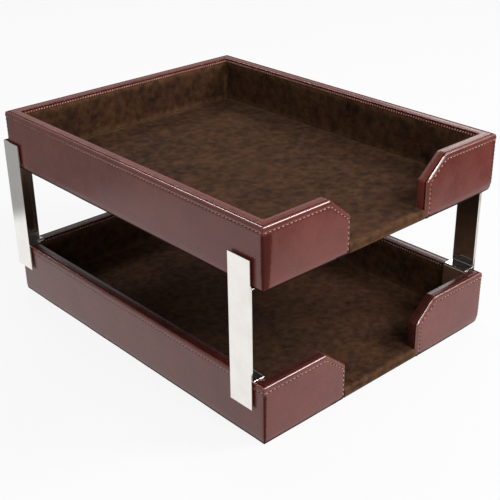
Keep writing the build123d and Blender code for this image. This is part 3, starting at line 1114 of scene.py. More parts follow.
@dataclass
class EdgeBinding:
    """The leather strip round a tray's free edges: creased by the hem, flat on top, turned down inside."""

    sizes: TraySizes
    seam: Seam
    step: float = 0.00096
    lip_step: float = 0.0003
    top_points: int = 12
    quarter_points: int = 6
    arc_points: int = 5
    slot_width: float = 0.0008
    slot_depth: float = 0.0014
    crease_radius: float = 0.0007
    turn_radius: float = 0.0013
    hem_radius: float = 0.0005
    crown: float = 0.00022
    pucker: float = 0.00013
    groove_depth: float = 0.00018
    groove_width: float = 0.0006
    line_inset: float = 0.0010
    line_width: float = 0.0004
    outline_radius: float = 0.0016
    corner_radius: float = 0.0004
    corner_growth: float = 0.16
    paling: float = 0.6
    rub_depth: float = 0.0011
    rub_inset: float = 0.0012
    # How dark the line of shade painted on the lip is
    lip_line_shade: float = 1.4

    def section(self) -> np.ndarray:
        """The strip's closed section, as depths and insets from the free edge."""
        sizes = self.sizes
        start, end = sizes.leather + self.slot_width, sizes.binding_inside
        quarter = np.linspace(0, math.pi / 2, self.quarter_points)
        slot = np.array([[sizes.leather, self.slot_depth],
                         [start, self.slot_depth - self.slot_width / 2]])
        shade_and_dark_reflection = np.stack([start + self.crease_radius * (1 - np.cos(quarter)),
                           self.crease_radius * (1 - np.sin(quarter))], axis=-1)
        top_depth = np.linspace(start + self.crease_radius, end - self.turn_radius, self.top_points)[1:-1]
        share = (top_depth - top_depth[0]) / (top_depth[-1] - top_depth[0])
        top = np.stack([top_depth, -self.crown * np.sin(math.pi * share)], axis=-1)
        turn = np.stack([end - self.turn_radius * (1 - np.sin(quarter)),
                         self.turn_radius * (1 - np.cos(quarter))], axis=-1)
        fall = evenly(self.turn_radius, sizes.lip - self.hem_radius, self.lip_step)[1:]
        lip = np.stack([np.full_like(fall, end), fall], axis=-1)
        hem = np.stack([end - self.hem_radius * (1 - np.cos(quarter)),
                        sizes.lip - self.hem_radius * (1 - np.sin(quarter))], axis=-1)[1:]
        back = np.array([[sizes.board_inside, sizes.lip], [sizes.board_inside, sizes.binding],
                         [sizes.leather, sizes.binding]])
        return np.concatenate([slot, shade_and_dark_reflection, top, turn, lip, hem, back])

    def corners(self, depth: float, inset: float) -> np.ndarray:
        """Corner points of the line at a depth and an inset, from the right end round to the left one."""
        sizes = self.sizes
        bottom = sizes.floor_top if depth > sizes.board_inside else sizes.board_floor
        elbow, shoulder = sizes.elbow(inset, inset), sizes.shoulder(inset, inset)
        near, top = depth - sizes.half_depth, sizes.height - inset
        half = np.array([
            [elbow[0], near, bottom],
            [elbow[0], near, elbow[1]],
            [shoulder[0], near, shoulder[1]],
            [sizes.half_width - depth, near, top],
            [sizes.half_width - depth, -near, top],
        ])
        return np.concatenate([half, half[::-1] * np.array([-1.0, 1.0, 1.0])])

    def leg_shares(self) -> list[np.ndarray]:
        """Shares of each leg of the line at which it has points, apart from its corners."""
        outside = self.corners(self.sizes.leather, 0.0)
        lengths = np.linalg.norm(np.diff(outside, axis=0), axis=1)
        return [evenly(0.0, 1.0, self.step / length)[1:-1] for length in lengths]

    def line(self, depth: float, inset: float) -> np.ndarray:
        """Points of the line at a depth and an inset, with its corners rounded."""
        corners = self.corners(depth, inset)
        outline = max(self.outline_radius - inset, self.corner_radius)
        wall = self.corner_radius + self.corner_growth * (depth - self.sizes.leather)
        radii = [outline, outline, wall, wall, wall, wall, outline, outline]
        points = [corners[:1]]
        starts, stops = [corners[0]], []
        arcs = []
        for before, corner, after, radius in zip(corners, corners[1:], corners[2:], radii):
            arcs.append(self.arc(before, corner, after, radius))
            stops.append(arcs[-1][0])
            starts.append(arcs[-1][-1])
        stops.append(corners[-1])
        for start, stop, shares, arc in zip(starts, stops, self.leg_shares(), [*arcs, corners[-1:]]):
            points += [start + shares[:, None] * (stop - start), arc]
        return np.concatenate(points)

    def arc(self, before: np.ndarray, corner: np.ndarray, after: np.ndarray, radius: float) -> np.ndarray:
        """Points of the round that takes a corner off a line.

        Args:
            before: The corner before it.
            corner: The corner.
            after: The corner after it.
            radius: The round's radius.

        Returns:
            Points from the round's start to its end.
        """
        back = (before - corner) / np.linalg.norm(before - corner)
        ahead = (after - corner) / np.linalg.norm(after - corner)
        half = math.acos(float(np.clip(back @ ahead, -1, 1))) / 2
        middle = (back + ahead) / np.linalg.norm(back + ahead)
        centre = corner + middle * radius / math.sin(half)
        swing = math.pi / 2 - half
        side = (ahead - back) / np.linalg.norm(ahead - back)
        angles = np.linspace(-swing, swing, self.arc_points)
        return centre + radius * (np.sin(angles)[:, None] * side - np.cos(angles)[:, None] * middle)

    def build(self, name: str) -> bpy.types.Object:
        """Make the strip.

        Args:
            name: The piece's name.

        Returns:
            The piece.
        """
        sizes = self.sizes
        section = self.section()
        steps = np.linalg.norm(np.diff(self.line(sizes.leather, 0.0), axis=0), axis=1)
        run = np.concatenate([[0.0], np.cumsum(steps)])
        swell = np.cos(2 * math.pi * run / self.seam.pitch)
        inwards = self.line(sizes.binding_inside + sizes.leather, 0.0)
        inwards = inwards - self.line(sizes.binding_inside, 0.0)
        inwards /= np.maximum(np.linalg.norm(inwards, axis=1), WELD)[:, None]
        rings = []
        for depth, inset in section:
            ring = self.line(depth, inset)
            if depth >= sizes.binding_inside - self.hem_radius and inset > 0:
                dip = self.groove_depth * falloff(np.array(inset - self.seam.lip_inset), self.groove_width)
                lift = self.pucker * swell * min(1.0, inset / sizes.lip) - dip
                ring = ring + inwards * lift[:, None]
            rings.append(ring)
        grid = np.stack(rings) + np.array([0.0, 0.0, sizes.level])
        rows, columns = grid.shape[:2]
        faces = quads_of(rows, columns, wrap=True).tolist()
        faces += [list(range(end, rows * columns, columns)) for end in (0, columns - 1)]
        depths, insets = section.T
        wear_and_painted_light = self.paling * falloff(depths - sizes.binding_inside, self.rub_depth)
        wear_and_painted_light *= falloff(insets, self.rub_inset)
        # Shade painted in the crease by the hem, and a line of shade painted on the lip below its turn
        wear_and_painted_light -= falloff(np.maximum(depths - sizes.leather - self.slot_width, 0.0), self.crease_radius / 2)
        lined = falloff(insets - self.line_inset, self.line_width) * (depths > sizes.board_inside)
        wear_and_painted_light -= self.lip_line_shade * lined
        return new_piece(name, grid.reshape(-1, 3), faces, np.repeat(np.clip(wear_and_painted_light, -1, 1), columns))


# Velveteen and felt


@dataclass
class WallLining:
    """Velveteen on the inside of one wall, from the floor up to the binding's lip."""

    sizes: TraySizes
    wall: Wall
    step: float = 0.0022
    edge_radius: float = 0.0006
    wave_size: float = 0.014
    wave_height: float = 0.00022
    wave_seed: Pair = (70.0, 3.0)
    edge_width: float = 0.0035

    def ends(self) -> Pair:
        """Where the lining starts and ends along the wall."""
        sizes = self.sizes
        if self.wall in (Wall.LEFT, Wall.RIGHT):
            reach = sizes.half_depth - sizes.board_inside
            return -reach, reach
        reach = sizes.half_width - sizes.lining_inside
        return (sizes.half_opening + sizes.lip, reach) if self.wall.is_stub else (-reach, reach)

    def build(self, name: str) -> bpy.types.Object:
        """Make the lining.

        Args:
            name: The piece's name.

        Returns:
            The piece.
        """
        sizes = self.sizes
        start, stop = self.ends()
        along = edged(start, stop, self.step, self.edge_radius)
        top = np.full_like(along, sizes.height - sizes.lip)
        if self.wall.is_stub:
            elbow = sizes.elbow(sizes.lip, sizes.lip)
            shoulder = sizes.shoulder(sizes.lip, sizes.lip)
            along = np.sort(np.append(along, shoulder[0]))
            top = np.interp(along, [elbow[0], shoulder[0]], [elbow[1], shoulder[1]])
        shares = edged(0.0, self.flat_size()[1], self.step, self.edge_radius)
        shares = shares / shares[-1]
        rise = sizes.floor_top + shares[:, None] * (top - sizes.floor_top)
        grid = np.stack([np.broadcast_to(along, rise.shape), rise, np.zeros_like(rise)], axis=-1)
        cut = Pattern.join([grid])
        limit = np.interp(cut.along, along, top)
        to_edge = np.minimum.reduce([cut.along - start, stop - cut.along,
                                     cut.rise - sizes.floor_top, limit - cut.rise])
        flat = sizes.place(self.wall, cut.along, sizes.lining_inside, cut.rise)
        seed = sizes.level * self.wave_seed[0] + self.wave_seed[1]
        uneven = ripples(flat, self.wave_size, self.wave_height, seed)
        thick = sizes.lining_inside + uneven * np.clip(to_edge / self.edge_width, 0, 1)
        thick = thick - rolled(to_edge, self.edge_radius)
        face = sizes.place(self.wall, cut.along, thick, cut.rise)
        back = sizes.place(self.wall, cut.along, sizes.board_inside, cut.rise)
        # Paler towards the edges: partly wear, partly a painted highlight
        return cut.shell(name, face, back, falloff(to_edge, self.edge_width))

    def flat_size(self) -> Pair:
        """Width and height of the cloth."""
        start, stop = self.ends()
        return stop - start, self.sizes.height - self.sizes.lip - self.sizes.floor_top


@dataclass
class FloorLining:
    """Velveteen on a tray's floor, folded down over the base's front edge in the finger opening."""

    sizes: TraySizes
    step: float = 0.0024
    drop_step: float = 0.0008
    ledge_step: float = 0.0007
    fold_points: int = 9
    edge_radius: float = 0.0006
    wave_size: float = 0.018
    wave_height: float = 0.00026
    wave_seed: Pair = (50.0, 7.0)
    ridge_height: float = 0.0004
    ridge_width: float = 0.0016
    ridge_wear_and_highlight: float = 0.8
    edge_width: float = 0.0040

    def rises(self) -> np.ndarray:
        """Places on the unrolled cloth from its front edge to the rear, with the fold's start at zero."""
        sizes = self.sizes
        arc = sizes.front_fold * math.pi / 2
        drop = sizes.floor_top - sizes.front_fold - sizes.felt
        length = 2 * sizes.half_depth - sizes.front_fold - sizes.board_inside
        ledge = sizes.board_inside - sizes.front_fold
        return np.concatenate([evenly(-arc - drop, -arc, self.drop_step)[:-1],
                               np.linspace(-arc, 0, self.fold_points)[:-1],
                               evenly(0, ledge, self.ledge_step)[:-1], evenly(ledge, length, self.step)])

    def lay(self, across: np.ndarray, rise: np.ndarray, up: np.ndarray) -> np.ndarray:
        """Points of the cloth on the base and round its front edge.

        Args:
            across: Places from left to right.
            rise: Places on the unrolled cloth.
            up: Distances out of the plain cloth's face.

        Returns:
            Points in the model's frame.
        """
        sizes = self.sizes
        fold = sizes.front_fold
        turn = np.clip(-rise / fold, 0, math.pi / 2)
        drop = np.maximum(-rise - fold * math.pi / 2, 0)
        y = np.maximum(rise, 0) + fold - sizes.half_depth - (fold + up) * np.sin(turn)
        z = sizes.level + sizes.floor_top - fold + (fold + up) * np.cos(turn) - drop
        return np.stack([across, y, z], axis=-1)

    def build(self, name: str) -> bpy.types.Object:
        """Make the floor.

        Args:
            name: The piece's name.

        Returns:
            The piece.
        """
        sizes = self.sizes
        reach = sizes.half_width - sizes.board_inside
        ledge = sizes.board_inside - sizes.front_fold
        near = self.edge_radius * EDGE_SHARES[1:]
        tongue = evenly(0, sizes.half_opening - near[-1], self.step)
        half = np.concatenate([tongue, sizes.half_opening - near[-2::-1], [sizes.half_opening],
                               evenly(sizes.half_opening, reach, self.step)[1:]])
        across = np.concatenate([-half[:0:-1], half])
        rises = self.rises()
        inner = across[np.abs(across) <= sizes.half_opening + near[0] / 2]
        back_rows = rises[rises >= ledge - near[0] / 2]
        front_rows = rises[rises <= ledge + near[0] / 2]
        grids = []
        for columns, rows in ((across, back_rows), (inner, front_rows)):
            u, w = np.meshgrid(columns, rows)
            grids.append(np.stack([u, w, np.zeros_like(u)], axis=-1))
        cut = Pattern.join(grids)
        in_tongue = cut.rise < ledge - near[0] / 2
        side = np.where(in_tongue, sizes.half_opening, reach) - np.abs(cut.along)
        front = cut.rise - np.where(np.abs(cut.along) > sizes.half_opening, ledge, rises[0])
        to_edge = np.clip(np.minimum.reduce([side, front, rises[-1] - cut.rise]), 0, None)
        flat = self.lay(cut.along, cut.rise, np.zeros_like(cut.rise))
        seed = sizes.level * self.wave_seed[0] + self.wave_seed[1]
        up = ripples(flat, self.wave_size, self.wave_height, seed)
        up = up * np.clip(to_edge / self.edge_width, 0, 1) - rolled(to_edge, self.edge_radius)
        up += self.ridge_height * falloff(cut.rise + sizes.front_fold / 2, self.ridge_width)
        face = self.lay(cut.along, cut.rise, up)
        back = self.lay(cut.along, cut.rise, np.full_like(up, sizes.base_top - sizes.floor_top))
        # The fold ridge is painted paler: partly wear, partly a painted highlight
        ridge = self.ridge_wear_and_highlight * falloff(cut.rise + sizes.front_fold / 2, 2 * self.ridge_width)
        return cut.shell(name, face, back, np.maximum(falloff(to_edge, self.edge_width), ridge))

    def flat_size(self) -> Pair:
        """Width and length of the cloth with its front fold laid flat."""
        rises = self.rises()
        return 2 * (self.sizes.half_width - self.sizes.board_inside), float(rises[-1] - rises[0])

    def flat_area(self) -> float:
        """Area of the cloth, without what is cut away beside the fold."""
        sizes = self.sizes
        width, length = self.flat_size()
        front = length - (2 * sizes.half_depth - 2 * sizes.board_inside)
        return width * length - front * (width - 2 * sizes.half_opening)


@dataclass
class FeltPad:
    """The felt under a tray."""

    sizes: TraySizes
    step: float = 0.006
    edge_radius: float = 0.0005
    wave_size: float = 0.03
    wave_height: float = 0.00006
    wave_seed: float = 11.0

    def half_sizes(self) -> Pair:
        """Half the felt's width and length."""
        sizes = self.sizes
        return sizes.half_width - sizes.felt_inset, sizes.half_depth - sizes.felt_inset

    def build(self, name: str) -> bpy.types.Object:
        """Make the felt.

        Args:
            name: The piece's name.

        Returns:
            The piece.
        """
        halves = self.half_sizes()
        u, w = np.meshgrid(*[edged(-half, half, self.step, self.edge_radius) for half in halves])
        cut = Pattern.join([np.stack([u, w, np.zeros_like(u)], axis=-1)])
        to_edge = np.minimum(halves[0] - np.abs(cut.along), halves[1] - np.abs(cut.rise))
        flat = np.stack([cut.along, cut.rise, np.full_like(cut.rise, self.sizes.level)], axis=-1)
        up = np.array([0.0, 0.0, 1.0])
        matted = np.abs(ripples(flat, self.wave_size, self.wave_height, self.wave_seed))
        face = flat + up * (matted + rolled(to_edge, self.edge_radius))[:, None]
        back = flat + up * self.sizes.felt
        return cut.shell(name, face, back, falloff(to_edge, 2 * self.edge_radius))


# Stitches


@dataclass(frozen=True)
class Run:
    """A straight run of stitches: its ends, the way its surface faces, and how its stitches lie."""

    ends: np.ndarray
    outward: np.ndarray
    slant: float
    pitch: float
    girth: float = 1.0


@dataclass
class StitchWork:
    """Rows of thread stitches along paths, made by one node tree."""

    thread: bpy.types.Material
    hole_shade: bpy.types.Material
    seam: Seam
    thread_radius: float = 0.00026
    stitch_length: float = 0.0022
    stitch_rise: float = 0.00032
    stitch_sink: float = 0.00030
    prick_radius: float = 0.00070
    prick_shape: Triple = (1.15, 0.9, 0.35)
    slant_spread: Pair = (0.8, 1.2)
    strand_steps: int = 6
    thread_sides: int = 6
    prick_sides: int = 8
    prick_rings: int = 4
    seed: int = 7
    tree: bpy.types.NodeTree = field(init=False)

    def __post_init__(self) -> None:
        """Build the tree once for all rows."""
        self.tree = self.build_tree()

    def build_tree(self) -> bpy.types.NodeTree:
        """A tree that lays a stitch, and a dark ball painted as the shade of its needle hole, at each step of
        a path.
        """
        tree = bpy.data.node_groups.new("stitch_rows", "GeometryNodeTree")
        kinds = {"Geometry": ("Geometry",), "Int": ("Seed",), "Material": ("Thread", "Hole"),
                 "Float": ("Pitch", "Thread Radius", "Stitch Length", "Rise", "Sink", "Hole Radius")}
        for kind, names in kinds.items():
            for name in names:
                tree.interface.new_socket(name, in_out="INPUT", socket_type=f"NodeSocket{kind}")
        tree.interface.new_socket("Geometry", in_out="OUTPUT", socket_type="NodeSocketGeometry")
        bench = NodeBench(tree)
        given = {socket.name: socket for socket in bench.add("NodeGroupInput").outputs}
        path = bench.add("GeometryNodeMeshToCurve", {"Mesh": given["Geometry"]})
        steps = bench.add("GeometryNodeResampleCurve", {
            "Curve": path.outputs["Curve"], "Length": self.carried(bench, "pitch")}, mode="LENGTH")
        girth = self.carried(bench, "girth")
        rows = bench.add("GeometryNodeInstanceOnPoints", {
            "Points": steps.outputs["Curve"], "Instance": self.stitch(bench, given),
            "Rotation": self.turned(bench, given), "Scale": bench.vector(1.0, girth, girth)})
        real = bench.add("GeometryNodeRealizeInstances", {"Geometry": rows.outputs["Instances"]})
        smooth = bench.add("GeometryNodeSetShadeSmooth", {"Geometry": real.outputs["Geometry"]})
        thread = bench.add("GeometryNodeSetMaterial", {
            "Geometry": smooth.outputs["Geometry"], "Material": given["Thread"]})
        holes = bench.add("GeometryNodeSetMaterial", {
            "Geometry": thread.outputs["Geometry"], "Material": given["Hole"],
            "Selection": self.carried(bench, "needle_hole_shade", "BOOLEAN")})
        bench.add("NodeGroupOutput", {"Geometry": holes.outputs["Geometry"]})
        return tree

    def carried(self, bench: NodeBench, name: str, kind: str = "FLOAT") -> bpy.types.NodeSocket:
        """A value that the tree's points or faces carry."""
        return bench.add("GeometryNodeInputNamedAttribute", {"Name": name},
                         data_type=kind).outputs["Attribute"]

    def stitch(self, bench: NodeBench, given: dict[str, bpy.types.NodeSocket]) -> bpy.types.NodeSocket:
        """One arched strand of thread, and half a pitch behind it a dark ball, painted as the shade in the
        needle hole.

        Args:
            bench: The tree's bench.
            given: The tree's inputs.

        Returns:
            The stitch's geometry, along X with Z out of the leather.
        """
        half = bench.math("MULTIPLY", given["Stitch Length"], 0.5)
        sink = bench.math("MULTIPLY", given["Sink"], -1.0)
        strand = bench.add("GeometryNodeCurveQuadraticBezier", {
            "Resolution": self.strand_steps,
            "Start": bench.vector(x=bench.math("MULTIPLY", half, -1.0), z=sink),
            "Middle": bench.vector(z=bench.math("MULTIPLY", given["Rise"], 2.0)),
            "End": bench.vector(x=half, z=sink)})
        section = bench.add("GeometryNodeCurvePrimitiveCircle", {
            "Resolution": self.thread_sides, "Radius": given["Thread Radius"]})
        thread = bench.add("GeometryNodeCurveToMesh", {
            "Curve": strand.outputs["Curve"], "Profile Curve": section.outputs["Curve"], "Fill Caps": True})
        ball = bench.add("GeometryNodeMeshUVSphere", {
            "Segments": self.prick_sides, "Rings": self.prick_rings, "Radius": given["Hole Radius"]})
        hole = bench.add("GeometryNodeTransform", {
            "Geometry": ball.outputs["Mesh"], "Scale": self.prick_shape,
            "Translation": bench.vector(x=bench.math("MULTIPLY", given["Pitch"], -0.5))})
        marked = bench.add("GeometryNodeStoreNamedAttribute", {
            "Geometry": hole.outputs["Geometry"]}, data_type="BOOLEAN", domain="FACE")
        bench.feed(marked, {"Name": "needle_hole_shade", "Value": True})
        both = bench.add("GeometryNodeJoinGeometry", {"Geometry": marked.outputs["Geometry"]})
        bench.join(thread.outputs["Mesh"], both.inputs["Geometry"])
        return both.outputs["Geometry"]

    def turned(self, bench: NodeBench, given: dict[str, bpy.types.NodeSocket]) -> bpy.types.NodeSocket:
        """How each stitch is turned: out of its surface, along its path, and slanted a little unevenly.

        Args:
            bench: The tree's bench.
            given: The tree's inputs.

        Returns:
            The stitches' rotations.
        """
        upright = bench.add("FunctionNodeAlignRotationToVector", {
            "Vector": self.carried(bench, "outward", "FLOAT_VECTOR")}, axis="Z")
        ahead = bench.add("FunctionNodeAlignRotationToVector", {
            "Rotation": upright.outputs["Rotation"],
            "Vector": bench.add("GeometryNodeInputTangent").outputs["Tangent"]}, axis="X", pivot_axis="Z")
        slant = self.carried(bench, "slant")
        least, most = (bench.math("MULTIPLY", slant, share) for share in self.slant_spread)
        lean = bench.add("FunctionNodeRandomValue", {2: least, 3: most, "Seed": given["Seed"]},
                         data_type="FLOAT")
        turn = bench.add("FunctionNodeEulerToRotation", {0: bench.vector(z=lean.outputs[1])})
        both = bench.add("FunctionNodeRotateRotation", {
            "Rotation": ahead.outputs["Rotation"], "Rotate By": turn.outputs[0]}, rotation_space="LOCAL")
        return both.outputs["Rotation"]

    def sew(self, name: str, runs: Sequence[Run]) -> bpy.types.Object:
        """Lay stitches along runs.

        Args:
            name: The piece's name.
            runs: The straight runs of the seam.

        Returns:
            One plain mesh of all the stitches.
        """
        points = np.concatenate([run.ends for run in runs])
        mesh = bpy.data.meshes.new(name + "_path")
        mesh.from_pydata(points.tolist(), [(i, i + 1) for i in range(0, len(points), 2)], [])
        outward = np.repeat([run.outward for run in runs], 2, axis=0).astype(np.float32)
        ways = mesh.attributes.new("outward", "FLOAT_VECTOR", "POINT")
        ways.data.foreach_set("vector", outward.ravel())
        for attribute in ("slant", "pitch", "girth"):
            values = np.repeat([getattr(run, attribute) for run in runs], 2).astype(np.float32)
            mesh.attributes.new(attribute, "FLOAT", "POINT").data.foreach_set("value", values)
        guide = bpy.data.objects.new(name + "_path", mesh)
        bpy.context.scene.collection.objects.link(guide)
        modifier = guide.modifiers.new("stitches", "NODES")
        modifier.node_group = self.tree
        given = {
            "Pitch": self.seam.pitch, "Thread Radius": self.thread_radius,
            "Stitch Length": self.stitch_length, "Rise": self.stitch_rise, "Sink": self.stitch_sink,
            "Hole Radius": self.prick_radius, "Seed": self.seed, "Thread": self.thread, "Hole": self.hole_shade,
        }
        for socket in self.tree.interface.items_tree:
            if socket.in_out == "INPUT" and socket.name in given:
                modifier[socket.identifier] = given[socket.name]
        evaluated = guide.evaluated_get(bpy.context.evaluated_depsgraph_get())
        sewn = bpy.data.meshes.new_from_object(evaluated)
        sewn.name = name
        bpy.data.objects.remove(guide)
        bpy.data.meshes.remove(mesh)
        piece = bpy.data.objects.new(name, sewn)
        bpy.context.scene.collection.objects.link(piece)
        return piece


# Sub-assemblies


@dataclass
class Tray:
    """One tray: its skins over the boards of the frame, and its stitches."""

    name: str
    finishes: Finishes
    stitches: StitchWork
    seam: Seam
    dark_reflection_width: float
    trim: bpy.types.Material
    sizes: TraySizes = field(init=False)
    pieces: list[bpy.types.Object] = field(default_factory=list)

    def __post_init__(self) -> None:
        """Read the tray's sizes."""
        self.sizes = TraySizes.from_frame(self.name)

    @property
    def body(self) -> str:
        """The body that the tray's pieces move with."""
        return f"{self.name}_tray"

    def keep(self, piece: bpy.types.Object, material: bpy.types.Material, node: str) -> None:
        """Dress a piece and let it stand for a node of the frame.

        Args:
            piece: The piece.
            material: Its finish.
            node: The node's name after the tray's own name.
        """
        dress(piece, material)
        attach(piece, self.body)
        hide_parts(f"{self.name}_{node}")
        self.pieces.append(piece)

    def panel(self, wall: Wall) -> LeatherPanel:
        """The leather panel of a wall."""
        return LeatherPanel(self.sizes, wall, self.seam, self.dark_reflection_width)

    def build_leather(self) -> None:
        """Make the panels and the binding."""
        looks = self.finishes
        for wall in Wall:
            piece = self.panel(wall).build(f"{self.name}_{wall.value}_leather")
            self.keep(piece, looks.leather, f"{wall.value}_leather_panel")
            finish_edges(piece, (looks.painted_shade, looks.dark_reflection, looks.leather, looks.hem))
        binding = EdgeBinding(self.sizes, self.seam).build(f"{self.name}_edge_binding")
        self.keep(binding, self.trim, "leather_edge_binding")
        finish_edges(binding, (looks.painted_shade, looks.dark_reflection, self.trim, self.trim))

    def build_linings(self) -> None:
        """Make the velveteen on the walls and the floor, and the felt."""
        for wall in Wall:
            lining = WallLining(self.sizes, wall)
            piece = lining.build(f"{self.name}_{wall.value}_velveteen")
            self.keep(piece, self.finishes.velveteen, f"{wall.value}_lining")
            lining.flat_size()
        floor = FloorLining(self.sizes)
        piece = floor.build(f"{self.name}_floor_velveteen")
        self.keep(piece, self.finishes.velveteen, "floor_lining")
        floor.flat_size()
        floor.flat_area()
        pad = FeltPad(self.sizes)
        piece = pad.build(f"{self.name}_felt")
        self.keep(piece, self.finishes.felt, "base_felt")

    def outer_runs(self) -> list[Run]:
        """Stitch lines on the outside, one run for each straight stretch."""
        runs = []
        for wall in Wall:
            panel = self.panel(wall)
            line = panel.stitch_line()
            for start, stop in zip(line, line[1:]):
                along, level = self.seam.trimmed(start, stop).T
                ends = self.sizes.place(wall, along, panel.groove_depth, level)
                runs.append(Run(ends, wall.outward, self.seam.outer_slant, self.seam.pitch))
        return runs

    def lip_runs(self) -> list[Run]:
        """Stitch lines on the binding's lip inside the tray."""
        sizes, seam = self.sizes, self.seam
        binding = EdgeBinding(sizes, seam)
        depth = sizes.binding_inside - binding.groove_depth
        corners = binding.corners(depth, seam.lip_inset) + np.array([0.0, 0.0, sizes.level])
        walls = [Wall.FRONT_RIGHT] * 3 + [Wall.RIGHT, Wall.REAR, Wall.LEFT] + [Wall.FRONT_LEFT] * 3
        lie = (seam.lip_slant, seam.lip_pitch, seam.lip_girth)
        return [Run(seam.trimmed(start, stop), -wall.outward, *lie)
                for start, stop, wall in zip(corners, corners[1:], walls)]

    def build_stitches(self) -> None:
        """Sew the tray."""
        piece = self.stitches.sew(f"{self.name}_stitches", self.outer_runs() + self.lip_runs())
        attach(piece, self.body)
        self.pieces.append(piece)

    def dress_boards(self) -> None:
        """Finish the boards that the skins cover."""
        for node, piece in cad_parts.items():
            if node.startswith(self.name) and node.endswith("_board"):
                dress(piece, self.finishes.board)
                LOG.info("dressed %s", node)

    def build(self) -> None:
        """Make the whole tray."""
        self.build_leather()
        self.build_linings()
        self.build_stitches()
        self.dress_boards()


@dataclass
class Posts:
    """The four posts of the frame."""

    finishes: Finishes

    def build(self) -> None:
        """Polish the posts."""
        for node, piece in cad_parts.items():
            if "_post_" in node:
                dress(piece, self.finishes.nickel)
                LOG.info("dressed %s", node)


# Studio


@dataclass(frozen=True)
class PhotoCamera:
    """The camera that was fitted to the photograph's tray corners."""

    azimuth: float = math.radians(-41.853)
    elevation: float = math.radians(26.556)
    roll: float = math.radians(0.8135)
    target: Triple = (-0.03924, -0.05337, 0.0900)
    distance: float = 0.8469
    focal_pixels: float = 995.41
    image_pixels: float = 500.0
    sensor: float = 36.0
    clip: Pair = (0.05, 50.0)

    def build(self) -> None:
        """Place the camera and make it the scene's own."""
        data = bpy.data.cameras.new("photo_camera")
        data.sensor_width = self.sensor
        data.lens = self.focal_pixels / self.image_pixels * self.sensor
        data.clip_start, data.clip_end = self.clip
        level = math.cos(self.elevation)
        back = Vector((math.sin(self.azimuth) * level, -math.cos(self.azimuth) * level,
                       math.sin(self.elevation)))
        right = (-back).cross(Vector((0, 0, 1))).normalized()
        down = (-back).cross(right)
        image_right = math.cos(self.roll) * right + math.sin(self.roll) * down
        image_down = math.cos(self.roll) * down - math.sin(self.roll) * right
        camera = bpy.data.objects.new("photo_camera", data)
        camera.matrix_world = Matrix.Translation(Vector(self.target) + back * self.distance) @ Matrix(
            (image_right, -image_down, back)).transposed().to_4x4()
        bpy.context.scene.collection.objects.link(camera)
        bpy.context.scene.camera = camera


@dataclass(frozen=True)
class SoftLamp:
    """A large soft lamp that points at the object."""

    name: str
    place: Triple
    size: float
    power: float
    aim: Triple = (0.0, 0.0, 0.08)

    def build(self) -> None:
        """Hang the lamp."""
        data = bpy.data.lights.new(self.name, "AREA")
        data.shape, data.size, data.energy = "DISK", self.size, self.power
        lamp = bpy.data.objects.new(self.name, data)
        lamp.location = self.place
        lamp.rotation_euler = (Vector(self.aim) - Vector(self.place)).to_track_quat("-Z", "Y").to_euler()
        bpy.context.scene.collection.objects.link(lamp)


